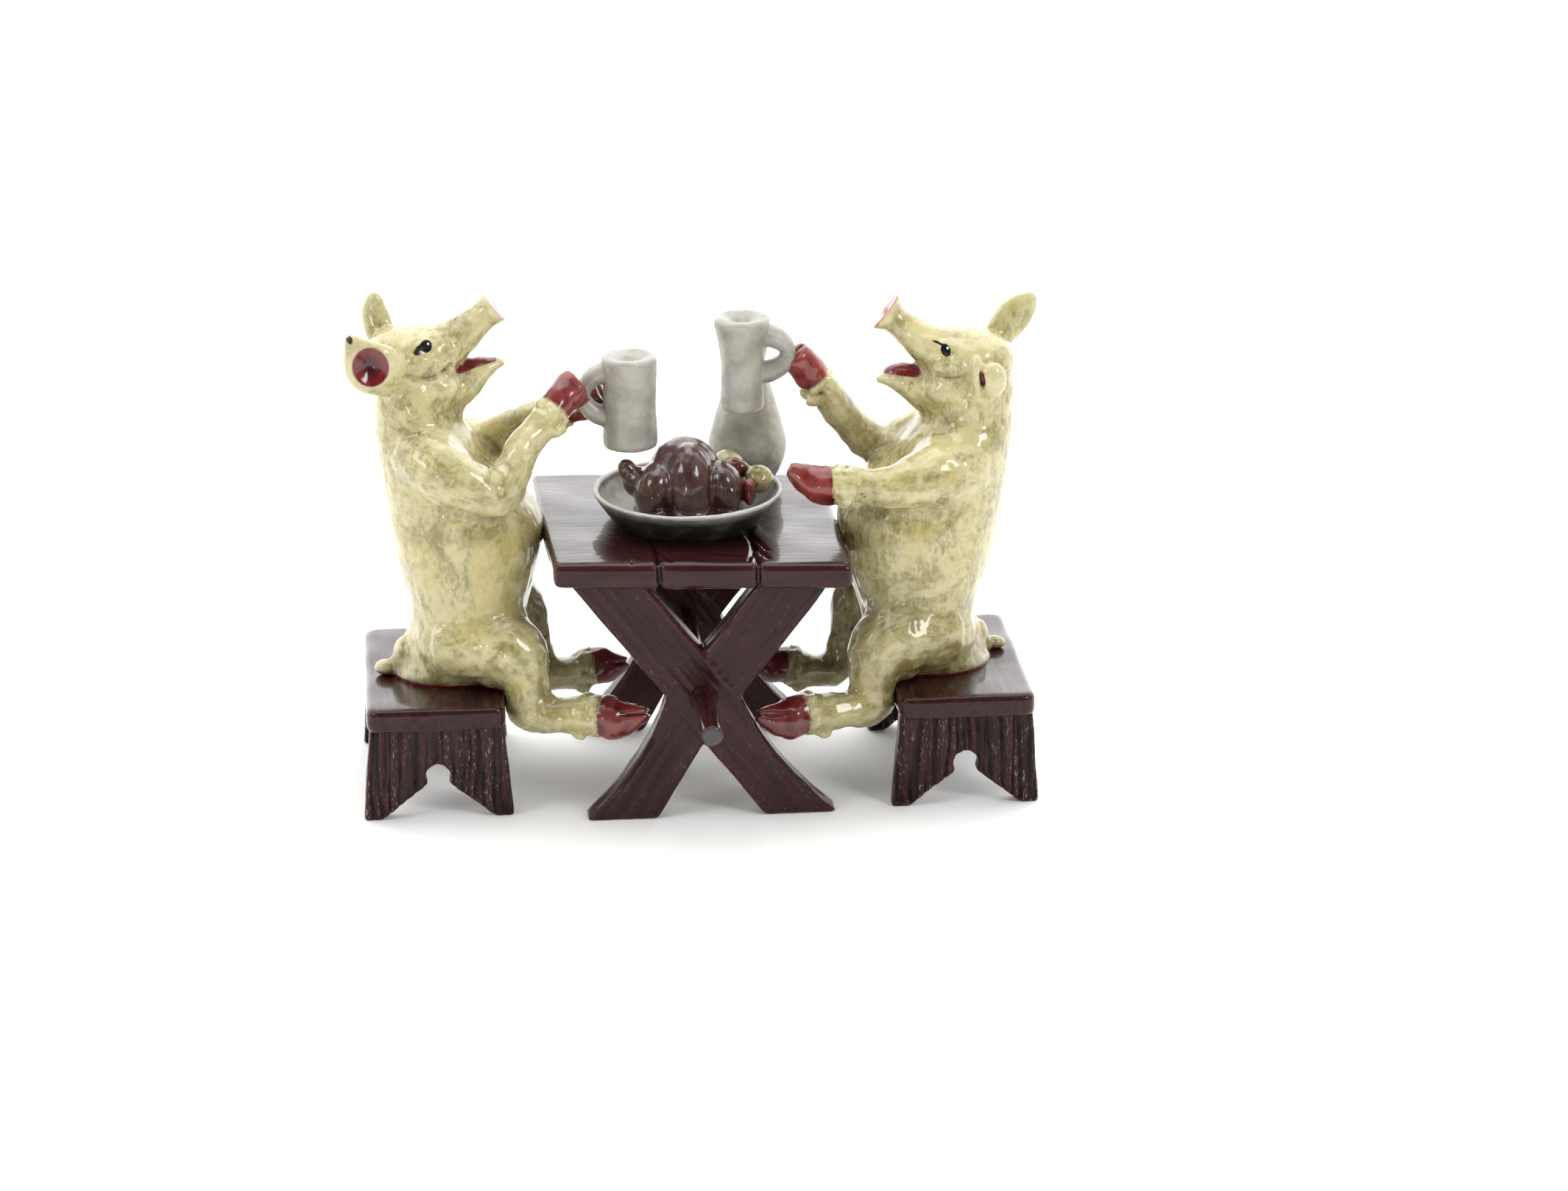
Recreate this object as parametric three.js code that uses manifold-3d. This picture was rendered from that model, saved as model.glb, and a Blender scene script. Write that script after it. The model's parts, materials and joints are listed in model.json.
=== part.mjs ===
// Cold-painted bronze miniature: two pigs on benches, drinking at a trestle table.
// Millimetres, +Z up. The viewer stands on the -Y side, so "near" is towards -Y.
import * as THREE from 'three';
import { mergeVertices } from 'three/addons/utils/BufferGeometryUtils.js';
import Module from 'manifold-3d';

const wasm = await Module();
wasm.setup();

// Joints between castings
const seam = 0.3;
const fitClearance = 0.15;
const pegRadius = 0.7;
const pinRadius = 0.9;
const pinDepth = 1.8;

// Table top
const tableLength = 39;
const tableDepth = 38.2;
const tableHeight = 36.3;
const topThickness = 3.6;
const edgeChamfer = 0.5;
const plankCount = 3;
const plankGroove = 0.45;

// Trestles and stretcher
const trestleThickness = 3.8;
const trestleInset = 1.6;
const armReach = 12.1;
const armHalfWidth = 4.9;
const crossHeight = 16.9;
const footReach = 11.9;
const footHalfWidth = 4.8;
const footShift = 1;
const legFlare = 3.2;
const tenonLength = 5;
const tenonHeight = 1.4;
const tenonCheek = 0.7;
const rodRadius = 1.4;
const rodOverhang = 13.5;

// Benches
const benchWidth = 18.3;
const benchDepth = 31.9;
const benchHeight = 15.8;
const seatThickness = 2.8;
const boardThickness = 2.6;
const boardInset = 1;
const boardTopHalf = 8.8;
const boardFootHalf = 9.9;
const notchHalf = 7;
const keyholeRadius = 1.65;
const keyholeHeight = 5.9;
const keyholeNeck = 1.3;
const tongueLength = 11;
const nutRadius = 2.2;
const nutThickness = 1.4;
const nutSides = 6;

// Dish, food and jug
const dishX = -0.7;
const dishY = -1.4;
const dishRadius = 12.7;
const dishFootRadius = 9.2;
const dishHeight = 4.9;
const dishFloorRadius = 8.4;
const dishFloor = 1.3;
const dishRim = 0.7;
const jugRadius = 5.4;
const jugFootRadius = 3.3;
const jugNeckRadius = 2.5;
const jugHeight = 20;
const jugBellyShare = 0.26;
const jugShoulderShare = 0.54;
const jugNeckShare = 0.84;
const jugBearing = THREE.MathUtils.degToRad(60);
const jugGap = 0.8;

// Tankards: a shallow funnel in the top, and a loop handle towards the pig
const funnelRadius = 2.7;
const funnelThroat = 0.9;
const funnelDepth = 1.3;
const rimRound = 0.4;
const handleThickness = 1.8;
const handleHoleHalf = 1;

// Pig: half depth of the belly, and how far its front lies ahead of the bench's middle
const bellyReach = 15.2;
const bellyHalfDepth = 10.6;
const cleftWidth = 0.45;
const cleftDepth = 2.6;
const dewclawRadius = 0.75;
const dewclawLength = 2.6;
const dewclawDropShare = 0.75;
const dewclawSpreadShare = 0.5;
const earHollowDeepShare = 0.7;
const earHollowWideShare = 0.8;

// Levels that follow from the sizes above
const topUnderside = tableHeight - topThickness;
const seatUnderside = benchHeight - seatThickness;
const trestleY = tableDepth / 2 - trestleInset - trestleThickness / 2;
const boardY = benchDepth / 2 - boardInset - boardThickness / 2;
const benchDistance = tableLength / 2 + seam + bellyReach;
const tableLevel = tableHeight - benchHeight;
const jugX = dishX + Math.cos(jugBearing) * (dishRadius + jugRadius + jugGap);
const jugY = dishY + Math.sin(jugBearing) * (dishRadius + jugRadius + jugGap);

// Stations of the lofts: forward, towards the viewer, up from the seat, half depth, half width
const torso = [
  [4, 0, -2, 6.2, 7],
  [4, 0, 2.5, 7.6, 8.8],
  [4.3, 0, 8.5, 8.6, 10.2],
  [4.7, 0, 15.2, 10, 11],
  [bellyReach - bellyHalfDepth, 0, 20.5, bellyHalfDepth, 10.8],
  [3, 0, 26.3, 9.7, 10],
  [0.2, 0, 31.4, 7.6, 8.6],
  [-1.6, 0, 35.4, 6, 7],
  [-1.6, 0, 40.3, 5.6, 6.2],
  [-1.6, 0, 44, 3.5, 4],
];
const head = [
  [-6.4, 0, 40.9, 2.2, 2.5],
  [-4.8, 0, 42, 4.4, 4.9],
  [-2, 0, 43.5, 4.5, 5.7],
  [1, 0, 44.5, 3.6, 5.1],
  [3.7, 0, 45.7, 2.9, 3.8],
  [6.2, 0, 47.6, 2.3, 2.9],
  [8.2, 0, 49.2, 2, 2.3],
  [9.5, 0, 50.2, 2.15, 2.4],
];
const jaw = [
  [-1.5, 0, 39, 3, 4.6],
  [2, 0, 39.2, 3.2, 4.4],
  [5, 0, 39.3, 2.5, 3.4],
  [8, 0, 40.6, 1.2, 2.2],
  [10.3, 0, 41.7, 0.6, 1.2],
];
const nearLeg = [
  [2.5, 5, 5, 5],
  [7.5, 7.5, 5, 4.8],
  [11.2, 8.8, 4.2, 3.7],
  [12, 9.6, -1.5, 2.9],
  [13.4, 10.6, -4.5, 2.6],
  [18, 12, -4, 2.4],
  [22.3, 13.4, -2.9, 2.6],
  [27.4, 15, -2.5, 0.9],
];
const farLeg = [
  [2.5, -5, 5, 5],
  [7.5, -6.8, 5.6, 4.8],
  [11.6, -7.2, 5.4, 3.5],
  [12.6, -7, -0.2, 2.7],
  [14.2, -6.6, -3.6, 2.4],
  [18.2, -6.4, -3.8, 2.2],
  [22, -6.4, -3.2, 2.3],
  [26.3, -6.2, -3, 0.9],
];
const tail = [
  [-3, 0, 5.4, 1.8],
  [-5.4, 0.4, 3.8, 1.7],
  [-7, 1.6, 2.2, 1.5],
  [-7.9, 3.3, 1.5, 1],
];

// Ends of the arms that hold a tankard, measured from the outermost point of its handle
const leftPig = {
  name: 'left',
  facing: 1,
  benchY: 0.5,
  headDrop: 0,
  tankard: {
    fromCentre: 8,
    near: -1.5,
    lift: 9.4,
    height: 12.6,
    foot: 3.6,
    waist: 3.55,
    rim: 3.65,
    handleHeight: 7.3,
    handleReach: 2.8,
    handleHalf: 3.7,
    holeHalf: 1.25,
  },
  nearArm: {
    upper: [[-1, 6.2, 31.6, 3.4], [1.2, 8.8, 31, 3.6], [5.6, 9.9, 28.4, 3.1], [9.6, 9, 28, 2.7]],
    grip: [[-8.3, 8.7, -3.9, 2.2], [-4.4, 6.3, 0.6, 1.95], [-3, 4.7, 1.8, 2.5], [-1, 3.1, 2.2, 1.7]],
  },
  farArm: {
    upper: [[0.5, -6, 30.5, 3.3], [3.2, -8.2, 30, 3], [8, -8.4, 29.6, 2.6]],
    grip: [[-7.2, -4.8, -4.8, 2.3], [-3.4, -4.1, -3.4, 2.1], [-0.2, -3.4, -2.6, 2.4], [3, -2.5, -1.4, 1.2]],
  },
  nearEar: {
    stations: [
      [-3, 4, 41, 2.2, 0.9], [-5, 6, 42.8, 3.3, 1.2],
      [-7.4, 6.9, 45, 3.5, 1.2], [-9.8, 6.6, 48.6, 0.4, 0.5],
    ],
    cup: [-0.2, 1, 0.1],
  },
  farEar: {
    stations: [
      [-2.8, -3.6, 43.4, 1.9, 0.9], [-4.6, -4.8, 46.4, 2.1, 1],
      [-6, -5, 49, 1.8, 0.9], [-7.4, -4.9, 51.2, 0.4, 0.4],
    ],
    cup: [0.6, -0.8, 0],
  },
};
const rightPig = {
  name: 'right',
  facing: -1,
  benchY: -1.7,
  headDrop: 1.8,
  tankard: {
    fromCentre: 6.9,
    near: -4.7,
    lift: 13.8,
    height: 12.8,
    foot: 3,
    waist: 2.85,
    rim: 3.7,
    handleHeight: 7.6,
    handleReach: 4.2,
    handleHalf: 3.6,
    holeHalf: 1.4,
  },
  nearArm: {
    upper: [[0, 6.4, 29.8, 3.8], [3, 9, 29, 3.7], [9, 9.9, 28.4, 2.9]],
    rest: [[15.6, 9.2, 7.6, 2.3], [19, 8.7, 7.2, 2.6], [23, 8.2, 8.4, 1]],
  },
  farArm: {
    upper: [[0.2, -6.2, 30, 3.4], [3.6, -8.4, 29.4, 3.1], [9.2, -8.4, 27.2, 2.7]],
    grip: [
      [-7.3, -2.5, -10.5, 2.3], [-4.1, -1.9, -5.8, 2.2],
      [-2.3, -1.3, -2.4, 2.6], [-1.1, -0.5, 0.2, 1.5],
    ],
  },
  nearEar: {
    stations: [
      [-4.6, 4, 42.6, 1.6, 1.2], [-4.8, 6, 42.2, 2, 1.5],
      [-4.2, 6.9, 40.4, 1.9, 1.5], [-3.8, 6.9, 38.4, 0.5, 0.5],
    ],
    cup: [0.9, 0, 0],
  },
  farEar: {
    stations: [
      [-4.4, -3.6, 42, 1.7, 0.9], [-6.8, -5.2, 44.2, 2, 1],
      [-9.2, -5.6, 46.4, 2, 1], [-11.6, -5.6, 48.4, 0.7, 0.5],
    ],
    cup: [0.6, -0.8, 0],
  },
};

// Roast and garnish on the dish: centre from the dish's middle and floor, and half sizes
const roast = [
  { at: [-1, 1.5, 3.4], half: [5.2, 5.5, 5.6] },
  { at: [0.2, -0.8, 3], half: [2.8, 3.4, 4.6] },
  { at: [-5, -1.4, 3.4], half: [2.3, 2.6, 3.4] },
  { at: [5.2, -1.4, 3.4], half: [2.1, 2.4, 3.4] },
  { at: [-7, 2.6, 3.9], half: [1.3, 2.6, 2.4] },
];
const garnish = [
  { name: 'back_dumpling', paint: 'cream', at: [5.9, 7, 4], half: [2.2, 2.2, 1.9] },
  { name: 'side_dumpling', paint: 'cream', at: [9.6, 1.4, 3.6], half: [1.9, 1.9, 1.9] },
  { name: 'back_fruit', paint: 'red', at: [6.8, 3.6, 4.4], half: [1.8, 1.3, 1.4] },
  { name: 'side_fruit', paint: 'red', at: [8, -1.2, 2.6], half: [1, 1.3, 1.9] },
];

// Paints
const paints = {
  pig: { color: 0xcfc58a, roughness: 0.35, metalness: 0.2 },
  wood: { color: 0x3a1716, roughness: 0.3, metalness: 0.1 },
  pewter: { color: 0xa3a19b, roughness: 0.5, metalness: 0.6 },
  roast: { color: 0x3b1d19, roughness: 0.25, metalness: 0.1 },
  cream: { color: 0xcdbf7a, roughness: 0.3, metalness: 0.1 },
  red: { color: 0x8c1a1c, roughness: 0.25, metalness: 0.1 },
  bronze: { color: 0x8a6a3c, roughness: 0.45, metalness: 0.9 },
};

// Facets
const sphereSides = 12;
const sphereRings = 8;
const torsoSides = 16;
const headSides = 12;
const limbSides = 8;
const dowelSides = 8;
const pinSides = 16;
const latheSides = 18;
const latheSteps = 3;
const curveSteps = 6;
const stepsPerStation = 2;
const mergeDistance = 1e-4;

// Corner positions and triangles as a solid that can be joined and cut
function meshSolid(positions, triangles) {
  const vertProperties = new Float32Array(positions);
  const triVerts = new Uint32Array(triangles);
  return new wasm.Manifold(new wasm.Mesh({ numProp: 3, vertProperties, triVerts }));
}

// A closed three.js geometry as a solid
function solid(geometry) {
  const bare = geometry.index ? geometry.toNonIndexed() : geometry.clone();
  bare.deleteAttribute('normal');
  bare.deleteAttribute('uv');
  const merged = mergeVertices(bare, mergeDistance);
  const index = merged.index.array;
  const triangles = [];
  for (let i = 0; i < index.length; i += 3) {
    const [a, b, c] = index.slice(i, i + 3);
    if (a !== b && b !== c && c !== a) triangles.push(a, b, c);
  }
  return meshSolid(merged.attributes.position.array, triangles);
}

function union(solids) {
  return solids.reduce((whole, next) => whole.add(next));
}

// A profile drawn in XZ, extruded along Y about Y = 0
function slab(shape, thickness) {
  const extrusion = { depth: thickness, bevelEnabled: false, curveSegments: curveSteps };
  const geometry = new THREE.ExtrudeGeometry(shape, extrusion);
  return geometry.rotateX(Math.PI / 2).translate(0, thickness / 2, 0);
}

// A profile turned about the Z axis
function turned(path) {
  return new THREE.LatheGeometry(path.getPoints(latheSteps), latheSides).rotateX(Math.PI / 2);
}

function block(sizeX, sizeY, sizeZ, x, y, z) {
  return solid(new THREE.BoxGeometry(sizeX, sizeY, sizeZ).translate(x, y, z));
}

// An upright pin from one level to another
function pin(radius, x, y, bottom, top) {
  const geometry = new THREE.CylinderGeometry(radius, radius, top - bottom, pinSides);
  return solid(geometry.rotateX(Math.PI / 2).translate(x, y, (bottom + top) / 2));
}

function oval(at, half, grow = 0) {
  const geometry = new THREE.SphereGeometry(1, sphereSides, sphereRings);
  return solid(geometry.scale(...half.map((size) => size + grow)).translate(...at));
}

// A dowel between two points, tapered where its end has a radius of its own
function dowel(from, to, radius, endRadius = radius) {
  const along = to.clone().sub(from);
  const geometry = new THREE.CylinderGeometry(endRadius, radius, along.length(), dowelSides);
  const cylinderAxis = new THREE.Vector3(0, 1, 0);
  const turn = new THREE.Quaternion().setFromUnitVectors(cylinderAxis, along.clone().normalize());
  const middle = from.clone().lerp(to, 0.5);
  return solid(geometry.applyQuaternion(turn).translate(middle.x, middle.y, middle.z));
}

// The two directions across a path, the first as near to the pig's width as the path lets it be
function crossAxes(along) {
  const across = new THREE.Vector3(0, 1, 0).addScaledVector(along, -along.y).normalize();
  return [across, new THREE.Vector3().crossVectors(along, across)];
}

function pointOf([x, y, z]) {
  return new THREE.Vector3(x, y, z);
}

// A closed loft of oval rings through the stations, each ring pushed out by grow
function loft(stations, sides, grow = 0) {
  const centres = new THREE.CatmullRomCurve3(stations.map(pointOf));
  const halves = new THREE.CatmullRomCurve3(
    stations.map(([, , , deep, wide = deep]) => new THREE.Vector3(deep + grow, wide + grow, 0)),
  );
  const steps = (stations.length - 1) * stepsPerStation;
  const positions = [];
  const triangles = [];
  for (let step = 0; step <= steps; step++) {
    const along = centres.getTangent(step / steps);
    const [across, over] = crossAxes(along);
    const endPush = grow * (Number(step === steps) - Number(step === 0));
    const centre = centres.getPoint(step / steps).addScaledVector(along, endPush);
    const { x: deep, y: wide } = halves.getPoint(step / steps);
    for (let side = 0; side < sides; side++) {
      const angle = (2 * Math.PI * side) / sides;
      const point = centre.clone();
      point.addScaledVector(across, wide * Math.cos(angle));
      point.addScaledVector(over, deep * Math.sin(angle));
      positions.push(...point.toArray());
      const next = (side + 1) % sides;
      const ring = step * sides;
      if (step < steps) {
        triangles.push(ring + side, ring + next, ring + sides + next);
        triangles.push(ring + side, ring + sides + next, ring + sides + side);
      }
      if (step === 0 && side > 1) triangles.push(0, side, side - 1);
      if (step === steps && side > 1) triangles.push(ring, ring + side - 1, ring + side);
    }
  }
  return meshSolid(positions, triangles);
}

function addPiece(group, name, shape, paint) {
  const { vertProperties, triVerts } = shape.getMesh();
  const geometry = new THREE.BufferGeometry();
  geometry.setAttribute('position', new THREE.BufferAttribute(vertProperties, 3));
  geometry.setIndex(new THREE.BufferAttribute(triVerts, 1));
  geometry.computeVertexNormals();
  const mesh = new THREE.Mesh(geometry, new THREE.MeshStandardMaterial(paints[paint]));
  mesh.name = name;
  group.add(mesh);
}

// A board's cross section with its upper long edges chamfered and its joints scored
function boardSection(width, bottom, top, joints) {
  const shape = new THREE.Shape();
  shape.moveTo(-width / 2, bottom);
  shape.lineTo(width / 2, bottom);
  shape.lineTo(width / 2, top - edgeChamfer);
  shape.lineTo(width / 2 - edgeChamfer, top);
  for (let joint = joints; joint >= 1; joint--) {
    const x = width * (joint / (joints + 1) - 0.5);
    shape.lineTo(x + plankGroove, top);
    shape.lineTo(x, top - plankGroove);
    shape.lineTo(x - plankGroove, top);
  }
  shape.lineTo(edgeChamfer - width / 2, top);
  shape.lineTo(-width / 2, top - edgeChamfer);
  return shape;
}

// Lyre-shaped X with straight arms and flared legs
function trestleShape(grow) {
  const half = armHalfWidth + grow;
  const footHalf = footHalfWidth + grow;
  const vee = (half * (topUnderside - crossHeight)) / armReach;
  const rightFoot = footShift + footReach;
  const leftFoot = footShift - footReach;
  const legMiddle = crossHeight / 2;
  const shape = new THREE.Shape();
  shape.moveTo(-armReach - half, topUnderside);
  shape.lineTo(-half, crossHeight);
  shape.quadraticCurveTo((leftFoot - footHalf - half) / 2 + legFlare, legMiddle, leftFoot - footHalf, 0);
  shape.lineTo(leftFoot + footHalf, 0);
  shape.lineTo(0, crossHeight - vee);
  shape.lineTo(rightFoot - footHalf, 0);
  shape.lineTo(rightFoot + footHalf, 0);
  shape.quadraticCurveTo((rightFoot + footHalf + half) / 2 - legFlare, legMiddle, half, crossHeight);
  shape.lineTo(armReach + half, topUnderside);
  shape.lineTo(armReach - half, topUnderside);
  shape.lineTo(0, crossHeight + vee);
  shape.lineTo(half - armReach, topUnderside);
  return shape;
}

// Stub tenons on the arms' ends, or their sockets when grown by the clearance
function tenons(y, grow) {
  const length = tenonLength + 2 * grow;
  const thickness = trestleThickness - 2 * tenonCheek + 2 * grow;
  const height = 2 * (tenonHeight + grow);
  return union([-1, 1].map((hand) => block(length, thickness, height, hand * armReach, y, topUnderside)));
}

function trestle(y) {
  const shape = trestleShape(0);
  const bore = new THREE.Path().absarc(0, crossHeight, rodRadius + fitClearance, 0, 2 * Math.PI, true);
  shape.holes.push(bore);
  return solid(slab(shape, trestleThickness).translate(0, y, 0)).add(tenons(y, 0));
}

// Shallow dish with an upturned rim, or the space it fills when its foot is drawn down
function dish(below = 0) {
  const path = new THREE.Path();
  path.moveTo(0, -below);
  path.lineTo(dishFootRadius, -below);
  path.quadraticCurveTo(dishRadius - dishRim, dishFloor, dishRadius, dishHeight - dishRim / 2);
  path.lineTo(dishRadius - dishRim / 2, dishHeight);
  path.lineTo(dishRadius - dishRim, dishHeight - dishRim / 2);
  path.quadraticCurveTo((dishRadius + dishFloorRadius) / 2, dishFloor + dishRim, dishFloorRadius, dishFloor);
  path.lineTo(0, dishFloor);
  return turned(path).translate(dishX, dishY, tableHeight);
}

function jug() {
  const path = new THREE.Path();
  path.moveTo(0, 0);
  path.lineTo(jugFootRadius, 0);
  path.splineThru([
    new THREE.Vector2(jugRadius, jugHeight * jugBellyShare),
    new THREE.Vector2((jugRadius + jugNeckRadius) / 2, jugHeight * jugShoulderShare),
    new THREE.Vector2(jugNeckRadius, jugHeight * jugNeckShare),
    new THREE.Vector2(jugNeckRadius + rimRound, jugHeight),
  ]);
  path.lineTo(jugNeckRadius - rimRound, jugHeight);
  path.lineTo(0, jugHeight - jugNeckRadius);
  return turned(path).translate(jugX, jugY, tableHeight);
}

// The pin between a vessel's foot and the table top, or its socket when grown by the clearance
function vesselPin(x, y, grow) {
  const bottom = tableHeight - pinDepth - grow;
  const top = tableHeight + dishFloor / 2 + grow;
  return pin(pinRadius + grow, x, y, bottom, top);
}

function buildTable(group) {
  const topShape = boardSection(tableLength, topUnderside, tableHeight, plankCount - 1);
  const sockets = union([
    tenons(-trestleY, fitClearance),
    tenons(trestleY, fitClearance),
    vesselPin(dishX, dishY, fitClearance),
    vesselPin(jugX, jugY, fitClearance),
  ]);
  addPiece(group, 'table_top', solid(slab(topShape, tableDepth)).subtract(sockets), 'wood');
  addPiece(group, 'front_trestle', trestle(-trestleY), 'wood');
  addPiece(group, 'back_trestle', trestle(trestleY), 'wood');
  const rodLength = 2 * (trestleY + trestleThickness / 2 + rodOverhang);
  const rod = new THREE.CylinderGeometry(rodRadius, rodRadius, rodLength, pinSides);
  addPiece(group, 'stretcher_rod', solid(rod.translate(0, 0, crossHeight)), 'wood');
}

function buildMeal(group) {
  addPiece(group, 'serving_dish', solid(dish()).subtract(vesselPin(dishX, dishY, fitClearance)), 'pewter');
  addPiece(group, 'dish_pin', vesselPin(dishX, dishY, 0), 'bronze');
  addPiece(group, 'jug', solid(jug()).subtract(vesselPin(jugX, jugY, fitClearance)), 'pewter');
  addPiece(group, 'jug_pin', vesselPin(jugX, jugY, 0), 'bronze');
  const onDish = ([x, y, z]) => [dishX + x, dishY + y, tableHeight + dishFloor + z];
  const dishSpace = solid(dish(tableHeight).translate(0, 0, seam));
  const bird = union(roast.map(({ at, half }) => oval(onDish(at), half)));
  addPiece(group, 'roast_bird', bird.subtract(dishSpace), 'roast');
  let taken = union(roast.map(({ at, half }) => oval(onDish(at), half, seam))).add(dishSpace);
  for (const { name, paint, at, half } of garnish) {
    addPiece(group, name, oval(onDish(at), half).subtract(taken), paint);
    taken = taken.add(oval(onDish(at), half, seam));
  }
}

// Leg board of a bench, with splayed sides and a keyhole notch that opens to the floor
function legBoard(y) {
  const neckAngle = Math.asin(keyholeNeck / keyholeRadius);
  const shape = new THREE.Shape();
  shape.moveTo(-boardTopHalf, seatUnderside);
  shape.lineTo(-boardFootHalf, 0);
  shape.lineTo(-notchHalf, 0);
  shape.absarc(0, keyholeHeight, keyholeRadius, 1.5 * Math.PI - neckAngle, neckAngle - 0.5 * Math.PI, true);
  shape.lineTo(notchHalf, 0);
  shape.lineTo(boardFootHalf, 0);
  shape.lineTo(boardTopHalf, seatUnderside);
  return solid(slab(shape, boardThickness).translate(0, y, 0)).add(tongue(y, 0));
}

// Tongue on a leg board's upper edge, or its groove when grown by the clearance
function tongue(y, grow) {
  const thickness = boardThickness - 2 * tenonCheek;
  return block(tongueLength + 2 * grow, thickness + 2 * grow, 2 * (tenonHeight + grow), 0, y, seatUnderside);
}

function buildBench(group, name) {
  const studBottom = seatUnderside - nutThickness - seam;
  const studTop = benchHeight + pinDepth;
  const studSpace = pin(pinRadius + fitClearance, 0, 0, studBottom - fitClearance, studTop + fitClearance);
  const cuts = union([studSpace, tongue(-boardY, fitClearance), tongue(boardY, fitClearance)]);
  const seat = solid(slab(boardSection(benchWidth, seatUnderside, benchHeight, 0), benchDepth));
  const hexagon = new THREE.CylinderGeometry(nutRadius, nutRadius, nutThickness, nutSides);
  const nut = solid(hexagon.rotateX(Math.PI / 2).translate(0, 0, seatUnderside - nutThickness / 2));
  addPiece(group, `${name}_bench_seat`, seat.subtract(cuts), 'wood');
  addPiece(group, `${name}_bench_front_board`, legBoard(-boardY), 'wood');
  addPiece(group, `${name}_bench_back_board`, legBoard(boardY), 'wood');
  addPiece(group, `${name}_seat_stud`, pin(pinRadius, 0, 0, studBottom, studTop), 'bronze');
  addPiece(group, `${name}_seat_nut`, nut.subtract(studSpace), 'bronze');
}

// A tankard on its own axis, with its handle towards -X, or its space when grown
function tankard(sizes, grow) {
  const { height, foot, waist, rim, handleHeight, handleReach, handleHalf, holeHalf } = sizes;
  const path = new THREE.Path();
  path.moveTo(0, -grow);
  path.lineTo(foot - rimRound + grow, -grow);
  path.lineTo(foot + grow, rimRound);
  path.quadraticCurveTo(2 * waist - (foot + rim) / 2 + grow, height / 2, rim + grow, height - rimRound);
  path.lineTo(rim - rimRound + grow, height + grow);
  path.lineTo(funnelRadius, height + grow);
  path.lineTo(funnelThroat, height - funnelDepth);
  path.lineTo(0, height - funnelDepth - funnelThroat);
  const loop = new THREE.Shape();
  loop.absellipse(-waist, handleHeight, handleReach + grow, handleHalf + grow, 0, 2 * Math.PI, false);
  if (grow === 0) {
    const hole = new THREE.Path();
    hole.absellipse(-waist - handleReach / 2, handleHeight, handleHoleHalf, holeHalf, 0, 2 * Math.PI, true);
    loop.holes.push(hole);
  }
  return [turned(path), slab(loop, handleThickness + 2 * grow)];
}

// Cloven trotter at the end of a limb: the cleft to cut and the two dewclaws to add
function trotter(stations) {
  const wrist = pointOf(stations.at(-3));
  const tip = pointOf(stations.at(-1));
  const along = tip.clone().sub(wrist).normalize();
  const [across, over] = crossAxes(along);
  const under = over.z < 0 ? over : over.negate();
  const turn = new THREE.Matrix4().makeBasis(along, across, new THREE.Vector3().crossVectors(along, across));
  const cleft = new THREE.BoxGeometry(2 * cleftDepth, cleftWidth, 4 * stations.at(-2)[3]);
  const wristRadius = stations.at(-3)[3];
  const claws = [-1, 1].map((hand) => {
    const root = wrist.clone().addScaledVector(under, wristRadius * dewclawDropShare);
    root.addScaledVector(across, hand * wristRadius * dewclawSpreadShare);
    root.addScaledVector(along, -dewclawLength / 2);
    const end = root.clone().addScaledVector(along, dewclawLength).addScaledVector(under, dewclawRadius);
    return dowel(root, end, dewclawRadius, dewclawRadius / 2);
  });
  const slit = solid(cleft.applyMatrix4(turn).translate(tip.x, tip.y, tip.z));
  return { slit, claws: union(claws) };
}

// A limb with its trotter, cut clear of its neighbours, and the points its dowel runs between
function limb(stations, taken, cloven) {
  const { slit, claws } = trotter(stations);
  const bare = loft(stations, limbSides);
  const shape = (cloven ? bare.subtract(slit) : bare).add(claws).subtract(taken);
  return { shape, root: pointOf(stations[0]), shoulder: pointOf(stations[2]) };
}

function ear({ stations, cup }, nearSide, taken) {
  const outer = flip(stations, nearSide);
  const inner = shifted(outer.slice(1), cup[0], cup[1] * nearSide, cup[2]).map(
    ([x, y, z, deep, wide]) => [x, y, z, deep * earHollowDeepShare, wide * earHollowWideShare],
  );
  const shape = loft(outer, limbSides).subtract(loft(inner, limbSides)).subtract(taken);
  return { shape, root: pointOf(outer[0]), shoulder: pointOf(outer[1]) };
}

// Stations are drawn with the viewer's side positive; a pig that faces +X has it on its -Y side
function flip(stations, nearSide) {
  return stations.map(([x, y, z, ...halves]) => [x, y * nearSide, z, ...halves]);
}

function shifted(stations, x, y, z) {
  return stations.map(([u, v, w, ...halves]) => [u + x, v + y, w + z, ...halves]);
}

function armStations({ upper, grip = [], rest = [] }, handle) {
  return [...upper, ...shifted(grip, ...handle), ...shifted(rest, 0, 0, tableLevel)];
}

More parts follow.
